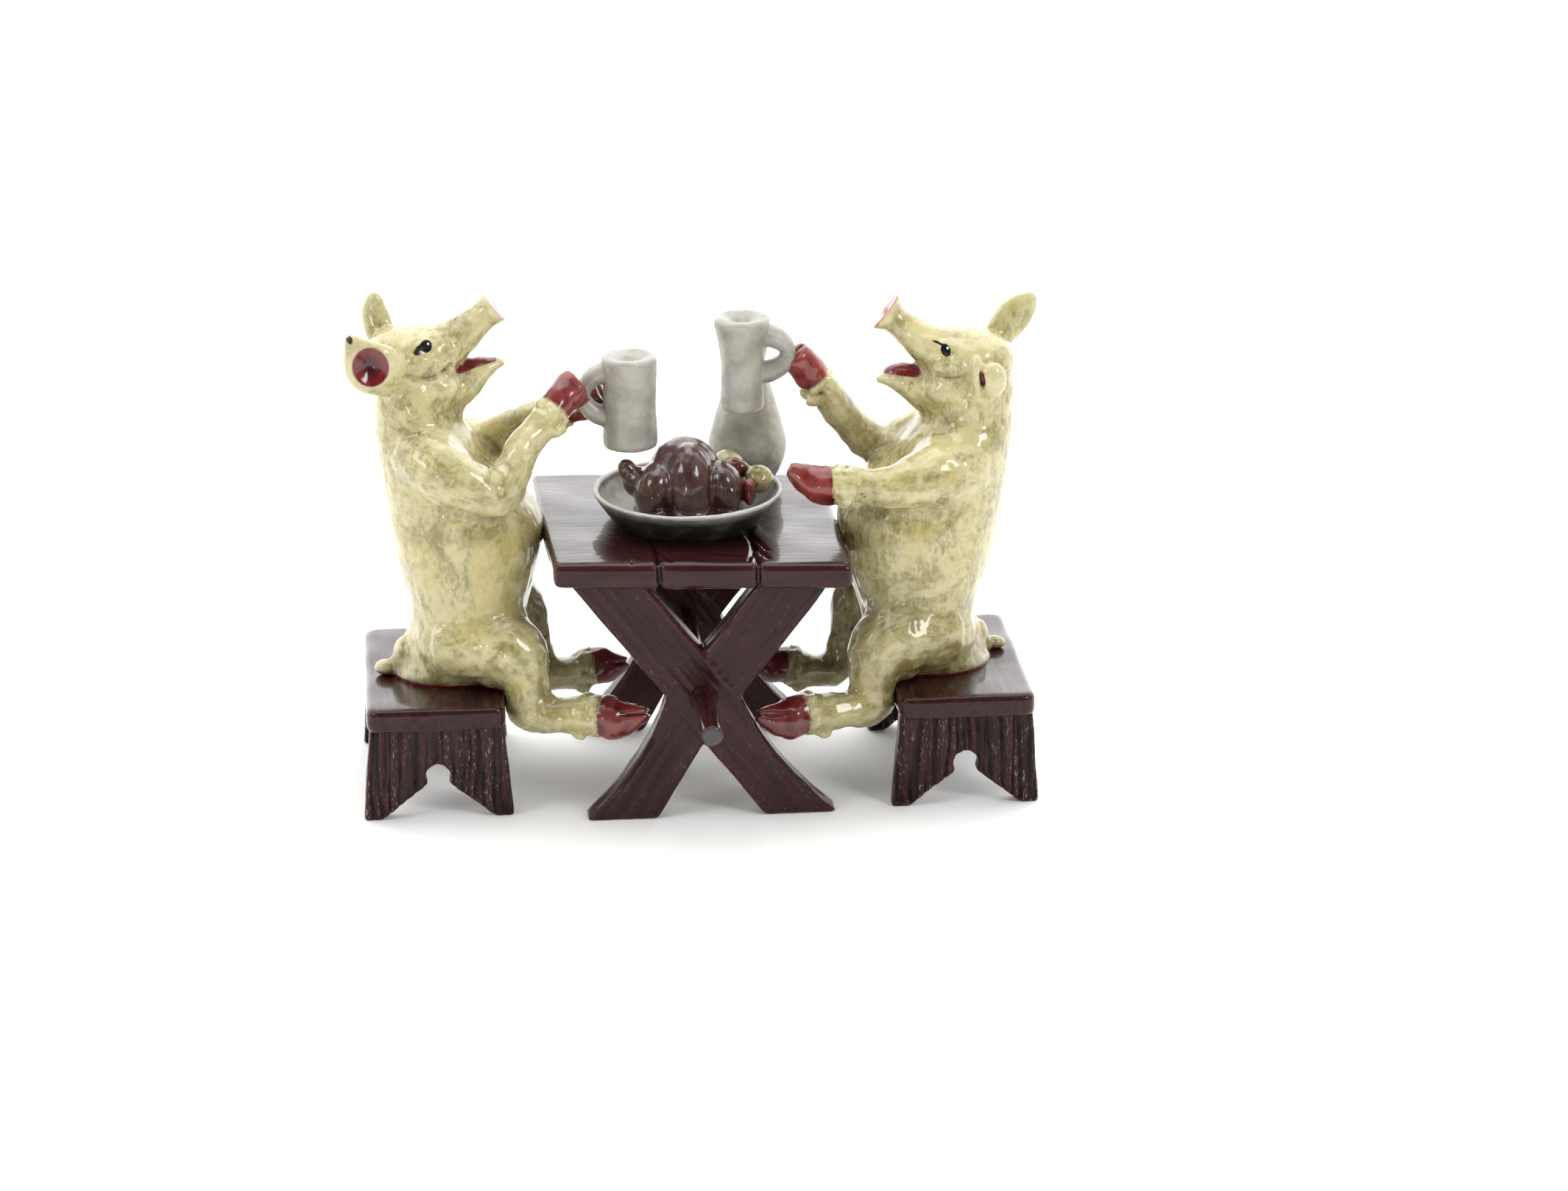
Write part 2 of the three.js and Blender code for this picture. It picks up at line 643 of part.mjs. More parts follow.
function buildPig(group, pig) {
  const { name, facing, headDrop } = pig;
  const nearSide = -facing;
  const toPig = new THREE.Matrix4().makeTranslation(-facing * benchDistance, pig.benchY, benchHeight);
  toPig.multiply(new THREE.Matrix4().makeRotationZ(facing > 0 ? 0 : Math.PI));
  const fromWorld = toPig.clone().invert();

  // Trunk, head and jaw in one casting, seated on the bench and against the table's edge
  const trunk = (grow) => union([
    loft(torso, torsoSides, grow),
    loft(shifted(head, 0, 0, -headDrop), headSides, grow),
    loft(shifted(jaw, 0, 0, -headDrop), headSides, grow),
  ]);
  const edgeMiddle = tableLevel - topThickness / 2;
  const edgeHeight = topThickness + 2 * seam;
  const tableEdge = block(tableLength, tableDepth, edgeHeight, benchDistance - seam, 0, edgeMiddle);
  const seatMiddle = seam - benchHeight / 2;
  const below = block(2 * benchDistance, 2 * benchDistance, benchHeight, 0, 0, seatMiddle);
  const benchSpace = block(benchWidth + 2 * seam, benchDepth + 2 * seam, benchHeight, 0, 0, seatMiddle);
  const trestleSlab = slab(trestleShape(seam), trestleThickness + 2 * seam);
  const frontTrestle = solid(trestleSlab.translate(0, -trestleY, 0).applyMatrix4(fromWorld));
  const trunkSpace = trunk(seam);

  // Tankard on its place above the table
  const { fromCentre, near, lift, handleHeight, handleReach, waist } = pig.tankard;
  const tankardAt = [benchDistance - fromCentre, near * nearSide, tableLevel + lift];
  const tankardSolid = (grow) => union(
    tankard(pig.tankard, grow).map((geometry) => solid(geometry.translate(...tankardAt))),
  );
  const handle = [tankardAt[0] - waist - handleReach, near, tankardAt[2] + handleHeight];
  const besideArm = trunkSpace.add(tankardSolid(seam));

  const limbs = {
    near_arm: limb(flip(armStations(pig.nearArm, handle), nearSide), besideArm, !pig.nearArm.grip),
    far_arm: limb(flip(armStations(pig.farArm, handle), nearSide), besideArm, !pig.farArm.grip),
    near_leg: limb(flip(nearLeg, nearSide), union([trunkSpace, benchSpace, frontTrestle]), true),
    far_leg: limb(flip(farLeg, nearSide), union([trunkSpace, benchSpace]), true),
    near_ear: ear(pig.nearEar, nearSide, trunkSpace),
    far_ear: ear(pig.farEar, nearSide, trunkSpace),
  };
  const tailStations = flip(tail, nearSide);
  limbs.tail = {
    shape: loft(tailStations, limbSides).subtract(trunkSpace).subtract(benchSpace),
    root: pointOf(tailStations[0]),
    shoulder: pointOf(tailStations[1]),
  };

  const studSpace = pin(pinRadius + fitClearance, 0, 0, -seam, pinDepth + fitClearance);
  let body = trunk(0).subtract(union([below, tableEdge, studSpace]));
  for (const [part, { shape, root, shoulder }] of Object.entries(limbs)) {
    addPiece(group, `${name}_pig_${part}`, shape.add(dowel(shoulder, root, pegRadius)), 'pig');
    body = body.subtract(dowel(shoulder, root, pegRadius + fitClearance));
  }
  addPiece(group, `${name}_pig_body`, body, 'pig');
  addPiece(group, `${name}_tankard`, tankardSolid(0), 'pewter');
  group.applyMatrix4(toPig);
}

const assembly = new THREE.Group();
const table = new THREE.Group();
buildTable(table);
buildMeal(table);
assembly.add(table);
for (const pig of [leftPig, rightPig]) {
  const figure = new THREE.Group();
  buildPig(figure, pig);
  const bench = new THREE.Group();
  buildBench(bench, pig.name);
  bench.position.set(-pig.facing * benchDistance, pig.benchY, 0);
  assembly.add(figure, bench);
}

// The origin lies on the floor under the middle of the whole group
const bounds = new THREE.Box3().setFromObject(assembly);
const middle = bounds.getCenter(new THREE.Vector3());
assembly.position.set(-middle.x, -middle.y, -bounds.min.z);

export default assembly;
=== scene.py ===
import json
import math
import bmesh
import bpy
import numpy as np
from mathutils import Matrix, Vector, noise
from mathutils.bvhtree import BVHTree

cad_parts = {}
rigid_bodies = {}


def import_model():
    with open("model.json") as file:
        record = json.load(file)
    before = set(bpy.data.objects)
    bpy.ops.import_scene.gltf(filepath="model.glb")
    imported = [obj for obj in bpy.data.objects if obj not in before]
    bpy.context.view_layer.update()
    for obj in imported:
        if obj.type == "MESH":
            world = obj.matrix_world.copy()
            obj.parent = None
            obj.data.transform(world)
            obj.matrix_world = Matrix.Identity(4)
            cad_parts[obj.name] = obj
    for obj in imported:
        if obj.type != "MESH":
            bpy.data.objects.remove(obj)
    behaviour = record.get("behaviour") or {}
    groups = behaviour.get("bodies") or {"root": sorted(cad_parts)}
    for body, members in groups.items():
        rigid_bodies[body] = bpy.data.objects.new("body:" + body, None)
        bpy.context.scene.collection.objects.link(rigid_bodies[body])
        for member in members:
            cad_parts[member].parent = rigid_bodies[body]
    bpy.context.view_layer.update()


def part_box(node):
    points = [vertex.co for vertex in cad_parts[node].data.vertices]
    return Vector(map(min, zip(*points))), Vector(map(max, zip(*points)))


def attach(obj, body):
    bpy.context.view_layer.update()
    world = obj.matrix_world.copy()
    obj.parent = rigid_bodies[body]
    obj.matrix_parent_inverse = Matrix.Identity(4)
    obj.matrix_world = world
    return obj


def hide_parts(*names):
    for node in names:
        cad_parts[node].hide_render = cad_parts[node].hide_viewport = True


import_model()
scene = bpy.context.scene
mm = 0.001  # shapes are made in millimetres and brought to metres when they are settled


def boxOf(node):
    lo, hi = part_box(node)
    return lo / mm, hi / mm


# camera
cameraSetup = {
    "azimuth": -5.71, "elevation": 20, "lens": 94.2, "sensor": 36, "nearest": 0.01,
    "distance": 553.2, "aimBeside": 12.29, "aimHeight": 24.5,
}
tableLo, tableHi = boxOf("table_top")
tableMiddle = (tableLo + tableHi) / 2
swing = math.radians(cameraSetup["azimuth"])
rise = math.radians(cameraSetup["elevation"])
toCamera = Vector((math.sin(swing) * math.cos(rise), -math.cos(swing) * math.cos(rise), math.sin(rise)))
aim = Vector((tableMiddle.x + cameraSetup["aimBeside"], 0, cameraSetup["aimHeight"]))
camera = bpy.data.objects.new("camera", bpy.data.cameras.new("camera"))
camera.location = (aim + toCamera * cameraSetup["distance"]) * mm
camera.rotation_euler = toCamera.to_track_quat("Z", "Y").to_euler()
camera.data.sensor_fit = "HORIZONTAL"
camera.data.sensor_width = cameraSetup["sensor"]
camera.data.lens = cameraSetup["lens"]
camera.data.clip_start = cameraSetup["nearest"]
scene.collection.objects.link(camera)
scene.camera = camera


# paint tools
def paint(name, coat, coatRoughness=0.08):
    material = bpy.data.materials.new(name)
    material.use_nodes = True
    tree = material.node_tree
    shader = tree.nodes["Principled BSDF"]
    shader.inputs["Coat Weight"].default_value = coat
    shader.inputs["Coat Roughness"].default_value = coatRoughness
    place = tree.nodes.new("ShaderNodeTexCoord").outputs["Object"]
    return material, tree, shader, place


def attribute(tree, name, output="Fac"):
    node = tree.nodes.new("ShaderNodeAttribute")
    node.attribute_name = name
    return node.outputs[output]


def stretched(tree, place, scale):
    node = tree.nodes.new("ShaderNodeMapping")
    node.inputs["Scale"].default_value = scale
    tree.links.new(place, node.inputs["Vector"])
    return node.outputs["Vector"]


def mottle(tree, place, scale, detail=4, roughness=0.55, warp=0):
    node = tree.nodes.new("ShaderNodeTexNoise")
    node.inputs["Scale"].default_value = scale
    node.inputs["Detail"].default_value = detail
    node.inputs["Roughness"].default_value = roughness
    node.inputs["Distortion"].default_value = warp
    tree.links.new(place, node.inputs["Vector"])
    return node.outputs["Fac"]


def ramp(tree, value, low, high, bottom=0, top=1):
    node = tree.nodes.new("ShaderNodeMapRange")
    node.interpolation_type = "SMOOTHSTEP"
    for socket, number in zip(("From Min", "From Max", "To Min", "To Max"), (low, high, bottom, top)):
        node.inputs[socket].default_value = number
    tree.links.new(value, node.inputs["Value"])
    return node.outputs["Result"]


def figure(tree, operation, first, second):
    node = tree.nodes.new("ShaderNodeMath")
    node.operation = operation
    for socket, value in zip(node.inputs, (first, second)):
        if isinstance(value, (int, float)):
            socket.default_value = value
        else:
            tree.links.new(value, socket)
    return node.outputs["Value"]


def layer(tree, share, below, above):
    node = tree.nodes.new("ShaderNodeMix")
    node.data_type = "RGBA"
    tree.links.new(share, node.inputs[0])
    for socket, value in zip((node.inputs[6], node.inputs[7]), (below, above)):
        if isinstance(value, tuple):
            socket.default_value = (*value, 1)
        else:
            tree.links.new(value, socket)
    return node.outputs[2]


def bumps(tree, shader, *reliefs):
    normal = None
    for height, strength, distance in reliefs:
        node = tree.nodes.new("ShaderNodeBump")
        node.inputs["Strength"].default_value = strength
        node.inputs["Distance"].default_value = distance * mm
        tree.links.new(height, node.inputs["Height"])
        if normal:
            tree.links.new(normal, node.inputs["Normal"])
        normal = node.outputs["Normal"]
    tree.links.new(normal, shader.inputs["Normal"])


def coats(tree, colour, *rows):  # each row: what it follows, from, to, least and most share, tint
    for value, low, high, least, most, tint in rows:
        colour = layer(tree, ramp(tree, value, low, high, least, most), colour, tint)
    return colour


def applyPaint(tree, shader, colour, roughness):
    tree.links.new(colour, shader.inputs["Base Color"])
    tree.links.new(roughness, shader.inputs["Roughness"])


# studio
studio = {
    "behind": 2.3, "before": 0.14,  # brightness of the backdrop and of the room on the camera's side
    "fade": (-0.5, 0.35),  # where the one passes into the other
    "floor": (0.93, 0.93, 0.915), "floorShade": 0.985, "floorSize": 3, "floorRoughness": 0.75,
    "lampAim": (0, 0, 0.03),
    "lamps": [
        # name, place in metres, size, watts
        ("topLamp", (-0.05, 0.0, 0.75), 0.5, 1.5),
        ("leftLamp", (-0.55, -0.3, 0.45), 0.23, 1.05),
        ("lowLamp", (-0.3, -0.55, 0.07), 0.06, 0.2),
        ("rightLamp", (0.42, -0.45, 0.42), 0.21, 1.8),
    ],
}
scene.view_settings.view_transform = "Standard"
world = bpy.data.worlds.new("studioWorld")
world.use_nodes = True
sky = world.node_tree
direction = sky.nodes.new("ShaderNodeSeparateXYZ")
sky.links.new(sky.nodes.new("ShaderNodeTexCoord").outputs["Generated"], direction.inputs[0])
brightness = ramp(sky, direction.outputs["Y"], *studio["fade"], studio["before"], studio["behind"])
sky.nodes["Background"].inputs["Color"].default_value = (1, 1, 1, 1)
sky.links.new(brightness, sky.nodes["Background"].inputs["Strength"])
scene.world = world
for name, spot, size, watts in studio["lamps"]:
    lamp = bpy.data.objects.new(name, bpy.data.lights.new(name, "AREA"))
    lamp.data.size = size
    lamp.data.energy = watts
    lamp.location = spot
    lamp.rotation_euler = (Vector(spot) - Vector(studio["lampAim"])).to_track_quat("Z", "Y").to_euler()
    scene.collection.objects.link(lamp)
print("camera and lamps set")

# paints
woodColours = {
    "dark": (0.009, 0.003, 0.0028), "bright": (0.042, 0.0095, 0.009), "broad": (0.044, 0.012, 0.011),
    # next line: dark dashes, a near-black tint painted as shade in the hollows, and worn edges
    "dash": (0.004, 0.002, 0.002), "hollow": (0.005, 0.0015, 0.0015), "worn": (0.05, 0.011, 0.01),
    # next line: a pale tint painted as the lacquer's glints on the ridges, then the grey of the rod's end
    "fleck": (0.5, 0.46, 0.44), "bare": (0.07, 0.066, 0.063),
}
# pewter: the hollow tint is painted shade and the ridge tint a painted highlight
pewterColours = {
    "dark": (0.3, 0.288, 0.248), "pale": (0.42, 0.404, 0.355), "grit": (0.2, 0.19, 0.165),
    # the last tint on the next line is painted shade towards the foot, with some dark paint
    "hollow": (0.1, 0.09, 0.08), "ridge": (0.52, 0.505, 0.46), "stain": (0.02, 0.017, 0.015),
}
bronzeColours = {"dark": (0.28, 0.16, 0.06), "bright": (0.5, 0.33, 0.14)}
pigColours = {
    "olive": (0.25, 0.208, 0.078), "cream": (0.55, 0.49, 0.255), "gold": (0.54, 0.44, 0.15),
    # next line: a painted highlight tint for the ridges, a painted shade tint, then dark specks
    "ridge": (0.64, 0.59, 0.35), "hollow": (0.095, 0.067, 0.021), "speck": (0.05, 0.042, 0.035),
    # next lines: the reds, a painted highlight for the red ridges, painted shade on the red, the ear linings
    # and painted shade in them
    "redDark": (0.055, 0.002, 0.003), "red": (0.2, 0.012, 0.013), "redRidgeHighlight": (0.3, 0.07, 0.055),
    "redShade": (0.045, 0.003, 0.004), "liningDark": (0.1, 0.004, 0.005), "lining": (0.22, 0.013, 0.014),
    "liningShade": (0.035, 0.003, 0.004),
}


# wood paint, with painted shade in the hollows and pale glints painted on the ridges, their strength given
# with each wood
def woodPaint(name, carved, chips, coat, paintedLightStrength, spread, coatIor=1.5):
    material, tree, shader, place = paint(name, coat, 0.06)
    shader.inputs["Coat IOR"].default_value = coatIor
    shader.inputs["Specular IOR Level"].default_value = 0.15
    tint = woodColours
    grain = attribute(tree, "grain", "Vector")  # along, across and through the board, in millimetres
    streak = mottle(tree, stretched(tree, grain, (0.06, 1.3, 1.3)), 1, 5, 0.6, 0.5)
    broad = mottle(tree, stretched(tree, grain, (0.07, 0.25, 0.25)), 1, 3, 0.5)
    dashes = mottle(tree, stretched(tree, grain, (0.4, 3.4, 3.4)), 1, 2, 0.5)
    glintPattern = mottle(tree, stretched(tree, grain, (1.3, 5.5, 5.5)), 1, 3, 0.6)
    fine = mottle(tree, place, 2600, 3)
    relief = attribute(tree, "relief")
    colour = layer(tree, ramp(tree, streak, 0.5 - spread, 0.5 + spread), tint["dark"], tint["bright"])
    colour = coats(
        tree, colour,
        (broad, 0.42, 0.72, 0, 0.6, tint["broad"]),
        (dashes, 0.68, 0.76, 0, 0.8, tint["dash"]),
        # painted shade in the hollows of the carving, the joints and the scores
        (relief, -0.03, -0.16, 0, 0.85, tint["hollow"]),
    )
    worn = figure(tree, "MULTIPLY", ramp(tree, relief, 0.06, 0.26, 0, 0.7), ramp(tree, streak, 0.3, 0.6))
    colour = layer(tree, worn, colour, tint["worn"])
    # painted highlight: pale glints along the grain on the ridges
    bare = ramp(tree, glintPattern, 0.58, 0.67, 0, paintedLightStrength)
    for gate in (ramp(tree, relief, -0.03, 0.06), ramp(tree, broad, 0.36, 0.56)):
        bare = figure(tree, "MULTIPLY", bare, gate)
    colour = layer(tree, bare, colour, tint["fleck"])
    colour = layer(tree, attribute(tree, "bare"), colour, tint["bare"])
    applyPaint(tree, shader, colour, ramp(tree, streak, 0.3, 0.7, 0.34, 0.2))
    bumps(tree, shader, (streak, carved, 0.3), (dashes, chips, 0.2), (fine, 0.04, 0.01))
    return material


def pewterPaint():
    material, tree, shader, place = paint("pewterPaint", 0.15, 0.2)
    shader.inputs["Metallic"].default_value = 0.15
    tint = pewterColours
    cloud = mottle(tree, place, 260, 4)
    grit = mottle(tree, place, 2400, 4, 0.65)
    relief = attribute(tree, "relief")
    colour = layer(tree, ramp(tree, cloud, 0.35, 0.65), tint["dark"], tint["pale"])
    colour = coats(
        tree, colour,
        (grit, 0.6, 0.74, 0, 0.55, tint["grit"]),
        # painted shade in the hollows
        (relief, -0.02, -0.2, 0, 0.85, tint["hollow"]),
        # painted highlight on the ridges
        (relief, 0.03, 0.2, 0, 0.7, tint["ridge"]),
    )
    # darker towards the foot: painted shade, with some dark paint
    stain = figure(tree, "MULTIPLY", attribute(tree, "stain"), ramp(tree, cloud, 0.3, 0.7, 1.1, 0.9))
    colour = layer(tree, stain, colour, tint["stain"])
    applyPaint(tree, shader, colour, ramp(tree, grit, 0.3, 0.7, 0.34, 0.52))
    bumps(tree, shader, (grit, 0.35, 0.06), (cloud, 0.25, 0.15))
    return material


# a glaze, with painted shade in its hollows and a painted highlight, the bright tint, on its ridges
def glazePaint(name, deep, mid, bright, pitted, coat=0.8):
    material, tree, shader, place = paint(name, coat)
    cloud = mottle(tree, place, 330, 4, 0.6, 0.5)
    grit = mottle(tree, place, 1900, 4, 0.6)
    relief = attribute(tree, "relief")
    colour = layer(tree, ramp(tree, cloud, 0.36, 0.66), deep, mid)
    # painted shade in the hollows
    colour = layer(tree, ramp(tree, relief, -0.03, -0.2, 0, 0.9), colour, tuple(0.35 * c for c in deep))
    # painted highlight on the ridges
    lit = figure(tree, "MULTIPLY", ramp(tree, relief, 0.02, 0.2), ramp(tree, cloud, 0.35, 0.6))
    colour = layer(tree, lit, colour, bright)
    applyPaint(tree, shader, colour, ramp(tree, grit, 0.3, 0.7, 0.2, 0.4))
    bumps(tree, shader, (cloud, pitted, 0.2), (grit, pitted * 0.4, 0.04))
    return material


def bareBronze():
    material, tree, shader, place = paint("bareBronze", 0)
    shader.inputs["Metallic"].default_value = 0.9
    cloud = mottle(tree, place, 500, 4)
    grit = mottle(tree, place, 3000, 3)
    colour = layer(tree, ramp(tree, cloud, 0.35, 0.65), bronzeColours["dark"], bronzeColours["bright"])
    applyPaint(tree, shader, colour, ramp(tree, grit, 0.3, 0.7, 0.3, 0.55))
    bumps(tree, shader, (grit, 0.4, 0.05))
    return material


def pigPaint(name, eyes, snoutColour):
    material, tree, shader, place = paint(name, 0.85, 0.08)
    shader.inputs["Specular IOR Level"].default_value = 0.25
    tint = pigColours
    brushed = attribute(tree, "brush", "Vector")
    stroke = mottle(tree, stretched(tree, brushed, (1.5, 1.5, 0.5)), 1, 6, 0.68, 1.2)
    patch = mottle(tree, place, 150, 5, 0.6, 1.3)
    flake = mottle(tree, place, 480, 5, 0.62, 0.9)
    tone = mottle(tree, place, 85, 4, 0.6, 0.9)
    grit = mottle(tree, place, 1500, 5, 0.65)
    specks = mottle(tree, place, 640, 3, 0.5)
    relief = attribute(tree, "relief")
    # painted shade in recesses and under the table, with the darkening towards the bottom
    wash = attribute(tree, "wash")
    inLining = attribute(tree, "lining")

    # cream brushed over olive, with a painted highlight on the ridges, painted shade in the hollows, the
    # recesses and under the table, darker towards the bottom, and specked
    share = figure(tree, "MULTIPLY", stroke, 0.25)
    for value, part in ((patch, 0.35), (flake, 0.25), (grit, 0.15)):
        share = figure(tree, "ADD", share, figure(tree, "MULTIPLY", value, part))
    colour = layer(tree, ramp(tree, share, 0.41, 0.56), tint["olive"], tint["cream"])
    colour = coats(
        tree, colour,
        (tone, 0.5, 0.68, 0, 0.6, tint["gold"]),
        # painted highlight on the ridges
        (relief, 0.03, 0.3, 0, 0.6, tint["ridge"]),
    )
    # painted shade in the hollows and recesses, and the darkening lower down, broken up by the grit and the
    # cream
    hollow = figure(tree, "ADD", ramp(tree, relief, -0.08, -0.45), wash)
    gritty = ramp(tree, grit, 0.3, 0.62, 0.45, 1)
    paintedLightStrength = figure(tree, "MULTIPLY", gritty, ramp(tree, share, 0.62, 0.4, 0.5, 1.1))
    colour = layer(tree, figure(tree, "MULTIPLY", hollow, paintedLightStrength), colour, tint["hollow"])
    spot = figure(tree, "MULTIPLY", ramp(tree, specks, 0.69, 0.77), ramp(tree, patch, 0.54, 0.42))
    colour = layer(tree, spot, colour, tint["speck"])

    # red trotters, ear linings and mouth, then the snout's disc
    red = layer(tree, ramp(tree, patch, 0.4, 0.62), tint["redDark"], tint["red"])
    # painted highlight on the red ridges
    red = layer(tree, ramp(tree, relief, 0.03, 0.25, 0, 0.55), red, tint["redRidgeHighlight"])
    # painted shade on the red, as on the skin
    red = layer(tree, wash, red, tint["redShade"])
    lining = layer(tree, ramp(tree, grit, 0.35, 0.7), tint["liningDark"], tint["lining"])
    lining = coats(
        tree, lining,
        # painted shade in the lining's hollows and deeper in the ear's bowl
        (relief, -0.1, -0.6, 0, 0.8, tint["liningShade"]),
        (inLining, 0.35, 1.5, 0, 0.8, tint["liningShade"]),
    )
    colour = coats(
        tree, colour,
        (attribute(tree, "hoof"), -0.12, 0.12, 0, 1, red),
        (inLining, -0.1, 0.12, 0, 1, lining),
        (attribute(tree, "snout"), -0.15, 0.15, 0, 1, snoutColour),
    )
    # eyes, a white dot painted as each eye's glint, and a spot at the ear's tip
    for spotAt, turn, half, eyeTint in eyes:
        mapping = tree.nodes.new("ShaderNodeMapping")
        mapping.vector_type = "TEXTURE"
        mapping.inputs["Location"].default_value = [c * mm for c in spotAt]
        mapping.inputs["Rotation"].default_value = (0, turn, 0)
        mapping.inputs["Scale"].default_value = [c * mm for c in half]
        tree.links.new(place, mapping.inputs["Vector"])
        size = tree.nodes.new("ShaderNodeVectorMath")
        size.operation = "LENGTH"
        tree.links.new(mapping.outputs["Vector"], size.inputs[0])
        colour = layer(tree, ramp(tree, size.outputs["Value"], 1.06, 0.94), colour, eyeTint)
    applyPaint(tree, shader, colour, ramp(tree, grit, 0.3, 0.7, 0.2, 0.36))
    bumps(tree, shader, (stroke, 0.15, 0.14), (flake, 0.3, 0.14), (grit, 0.22, 0.06))
    return material


# shape tools
def toObject(bm, name):
    bmesh.ops.recalc_face_normals(bm, faces=bm.faces[:])
    if bm.calc_volume(signed=True) < 0:
        bmesh.ops.reverse_faces(bm, faces=bm.faces[:])
    mesh = bpy.data.meshes.new(name)
    bm.to_mesh(mesh)
    bm.free()
    piece = bpy.data.objects.new(name, mesh)
    scene.collection.objects.link(piece)
    return piece


def cast(piece, voxel, soften):  # fuses the shells into one skin with soft fillets
    remesh = piece.modifiers.new("cast", "REMESH")
    remesh.mode = "VOXEL"
    remesh.voxel_size = voxel
    smooth = piece.modifiers.new("soften", "SMOOTH")
    smooth.factor = 0.5
    smooth.iterations = soften
    mesh = bpy.data.meshes.new_from_object(piece.evaluated_get(bpy.context.evaluated_depsgraph_get()))
    piece.modifiers.clear()
    piece.data = mesh
    return piece


def points(piece):
    values = np.empty(len(piece.data.vertices) * 3)
    piece.data.vertices.foreach_get("co", values)
    return values.reshape(-1, 3)


def facing(piece):
    values = np.empty(len(piece.data.vertices) * 3)
    piece.data.vertex_normals.foreach_get("vector", values)
    return values.reshape(-1, 3)


def setPoints(piece, spot):
    piece.data.vertices.foreach_set("co", spot.ravel())
    piece.data.update()


def push(piece, amount):  # moves the skin along its normals, in millimetres
    setPoints(piece, points(piece) + facing(piece) * amount[:, None])


def lumps(place, scale, seed):
    return np.array([noise.noise(Vector(p)) for p in place * np.array(scale) + seed])


def ripples(place, layers, seed=0):  # each layer: height, scale and its own seed
    return sum(height * lumps(place, scale, seed + own) for height, scale, own in layers)


def smoothed(piece, values, rounds):
    ends = np.empty(len(piece.data.edges) * 2, dtype=np.int32)
    piece.data.edges.foreach_get("vertices", ends)
    a, b = ends.reshape(-1, 2).T
    count = len(values)
    near = np.bincount(a, minlength=count) + np.bincount(b, minlength=count)
    for step in range(rounds):
        total = np.empty_like(values)
        for column in range(values.shape[1]):
            side = values[:, column]
            total[:, column] = np.bincount(a, side[b], count) + np.bincount(b, side[a], count)
        values = total / near[:, None]
    return values


def reliefOf(piece, rounds):  # ridges are above nought, hollows below
    place = points(piece)
    return ((place - smoothed(piece, place, rounds)) * facing(piece)).sum(1)


folds = {"passes": 3, "reliefRounds": 10, "depth": 0.1, "spread": 8, "gain": 2}


def easeFolds(piece, hold, rounds):  # hollow folds are filled, except where they are held
    for step in range(folds["passes"]):
        place = points(piece)
        hollow = np.clip(-reliefOf(piece, folds["reliefRounds"]) / folds["depth"], 0, 1)
        share = np.clip(smoothed(piece, hollow[:, None], folds["spread"]) * folds["gain"], 0, 1)
        setPoints(piece, place + (smoothed(piece, place, rounds) - place) * share * hold[:, None])


def keep(piece, name, values):
    kind = "FLOAT" if values.ndim == 1 else "FLOAT_VECTOR"
    field = piece.data.attributes.new(name, kind, "POINT")
    field.data.foreach_set("value" if values.ndim == 1 else "vector", values.astype(np.float32).ravel())


def keepRelief(piece, rounds):
    keep(piece, "relief", reliefOf(piece, rounds))


def settle(piece, material, slot, *nodes):
    piece.data.transform(Matrix.Scale(mm, 4))
    piece.data.materials.clear()
    piece.data.materials.append(material)
    piece.data.shade_smooth()
    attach(piece, "root")
    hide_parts(*nodes)


def spline(stations, steps):
    knots = np.array(stations, float)
    ends = np.vstack((2 * knots[0] - knots[1], knots, 2 * knots[-1] - knots[-2]))
    rows = []
    for k in range(len(knots) - 1):
        p0, p1, p2, p3 = ends[k:k + 4]
        for s in np.arange(steps) / steps:
            cubic = (3 * p1 - p0 - 3 * p2 + p3) * s ** 3
            rows.append(0.5 * (2 * p1 + (p2 - p0) * s + (2 * p0 - 5 * p1 + 4 * p2 - p3) * s * s + cubic))
    rows.append(knots[-1])
    return np.array(rows)


def loft(bm, rows, sides=20, level=False):  # rings along a path, each x, y, z, half depth, half width
    centres = rows[:, :3]
    along = np.gradient(centres, axis=0)
    rings = []
    for k, row in enumerate(rows):
        ahead = Vector((0, 0, 1)) if level else Vector(along[k]).normalized()
        across = (Vector((0, 1, 0)) - ahead * ahead.y).normalized()
        over = ahead.cross(across)
        turn = Matrix((across * row[4], over * row[3], ahead)).transposed().to_4x4()
        placed = Matrix.Translation(row[:3]) @ turn
        capped = k in (0, len(rows) - 1)
        ring = bmesh.ops.create_circle(bm, cap_ends=capped, segments=sides, radius=1, matrix=placed)["verts"]
        rings.append({e for v in ring for e in v.link_edges})
    for first, second in zip(rings, rings[1:]):
        bmesh.ops.bridge_loops(bm, edges=list(first | second))


def oval(bm, at, half, turn=0):
    placed = Matrix.Translation(at) @ Matrix.Rotation(turn, 4, "Y") @ Matrix.Diagonal((*half, 1))
    bmesh.ops.create_icosphere(bm, subdivisions=3, radius=1, matrix=placed)


def slab(bm, outline, y, thickness):  # an outline in x and z, given its thickness along y
    corners = [bm.verts.new((x, y, z)) for x, z in outline]
    face = bm.faces.new(corners)
    grown = bmesh.ops.extrude_face_region(bm, geom=[face])["geom"]
    moved = [v for v in grown if isinstance(v, bmesh.types.BMVert)]
    bmesh.ops.translate(bm, verts=moved, vec=(0, thickness, 0))


def roundEdges(bm, width, segments=3):
    bmesh.ops.recalc_face_normals(bm, faces=bm.faces[:])
    sharp = [e for e in bm.edges if len(e.link_faces) == 2 and e.calc_face_angle() > 0.5]
    bmesh.ops.bevel(bm, geom=sharp, offset=width, affect="EDGES", segments=segments, profile=0.5, material=-1)


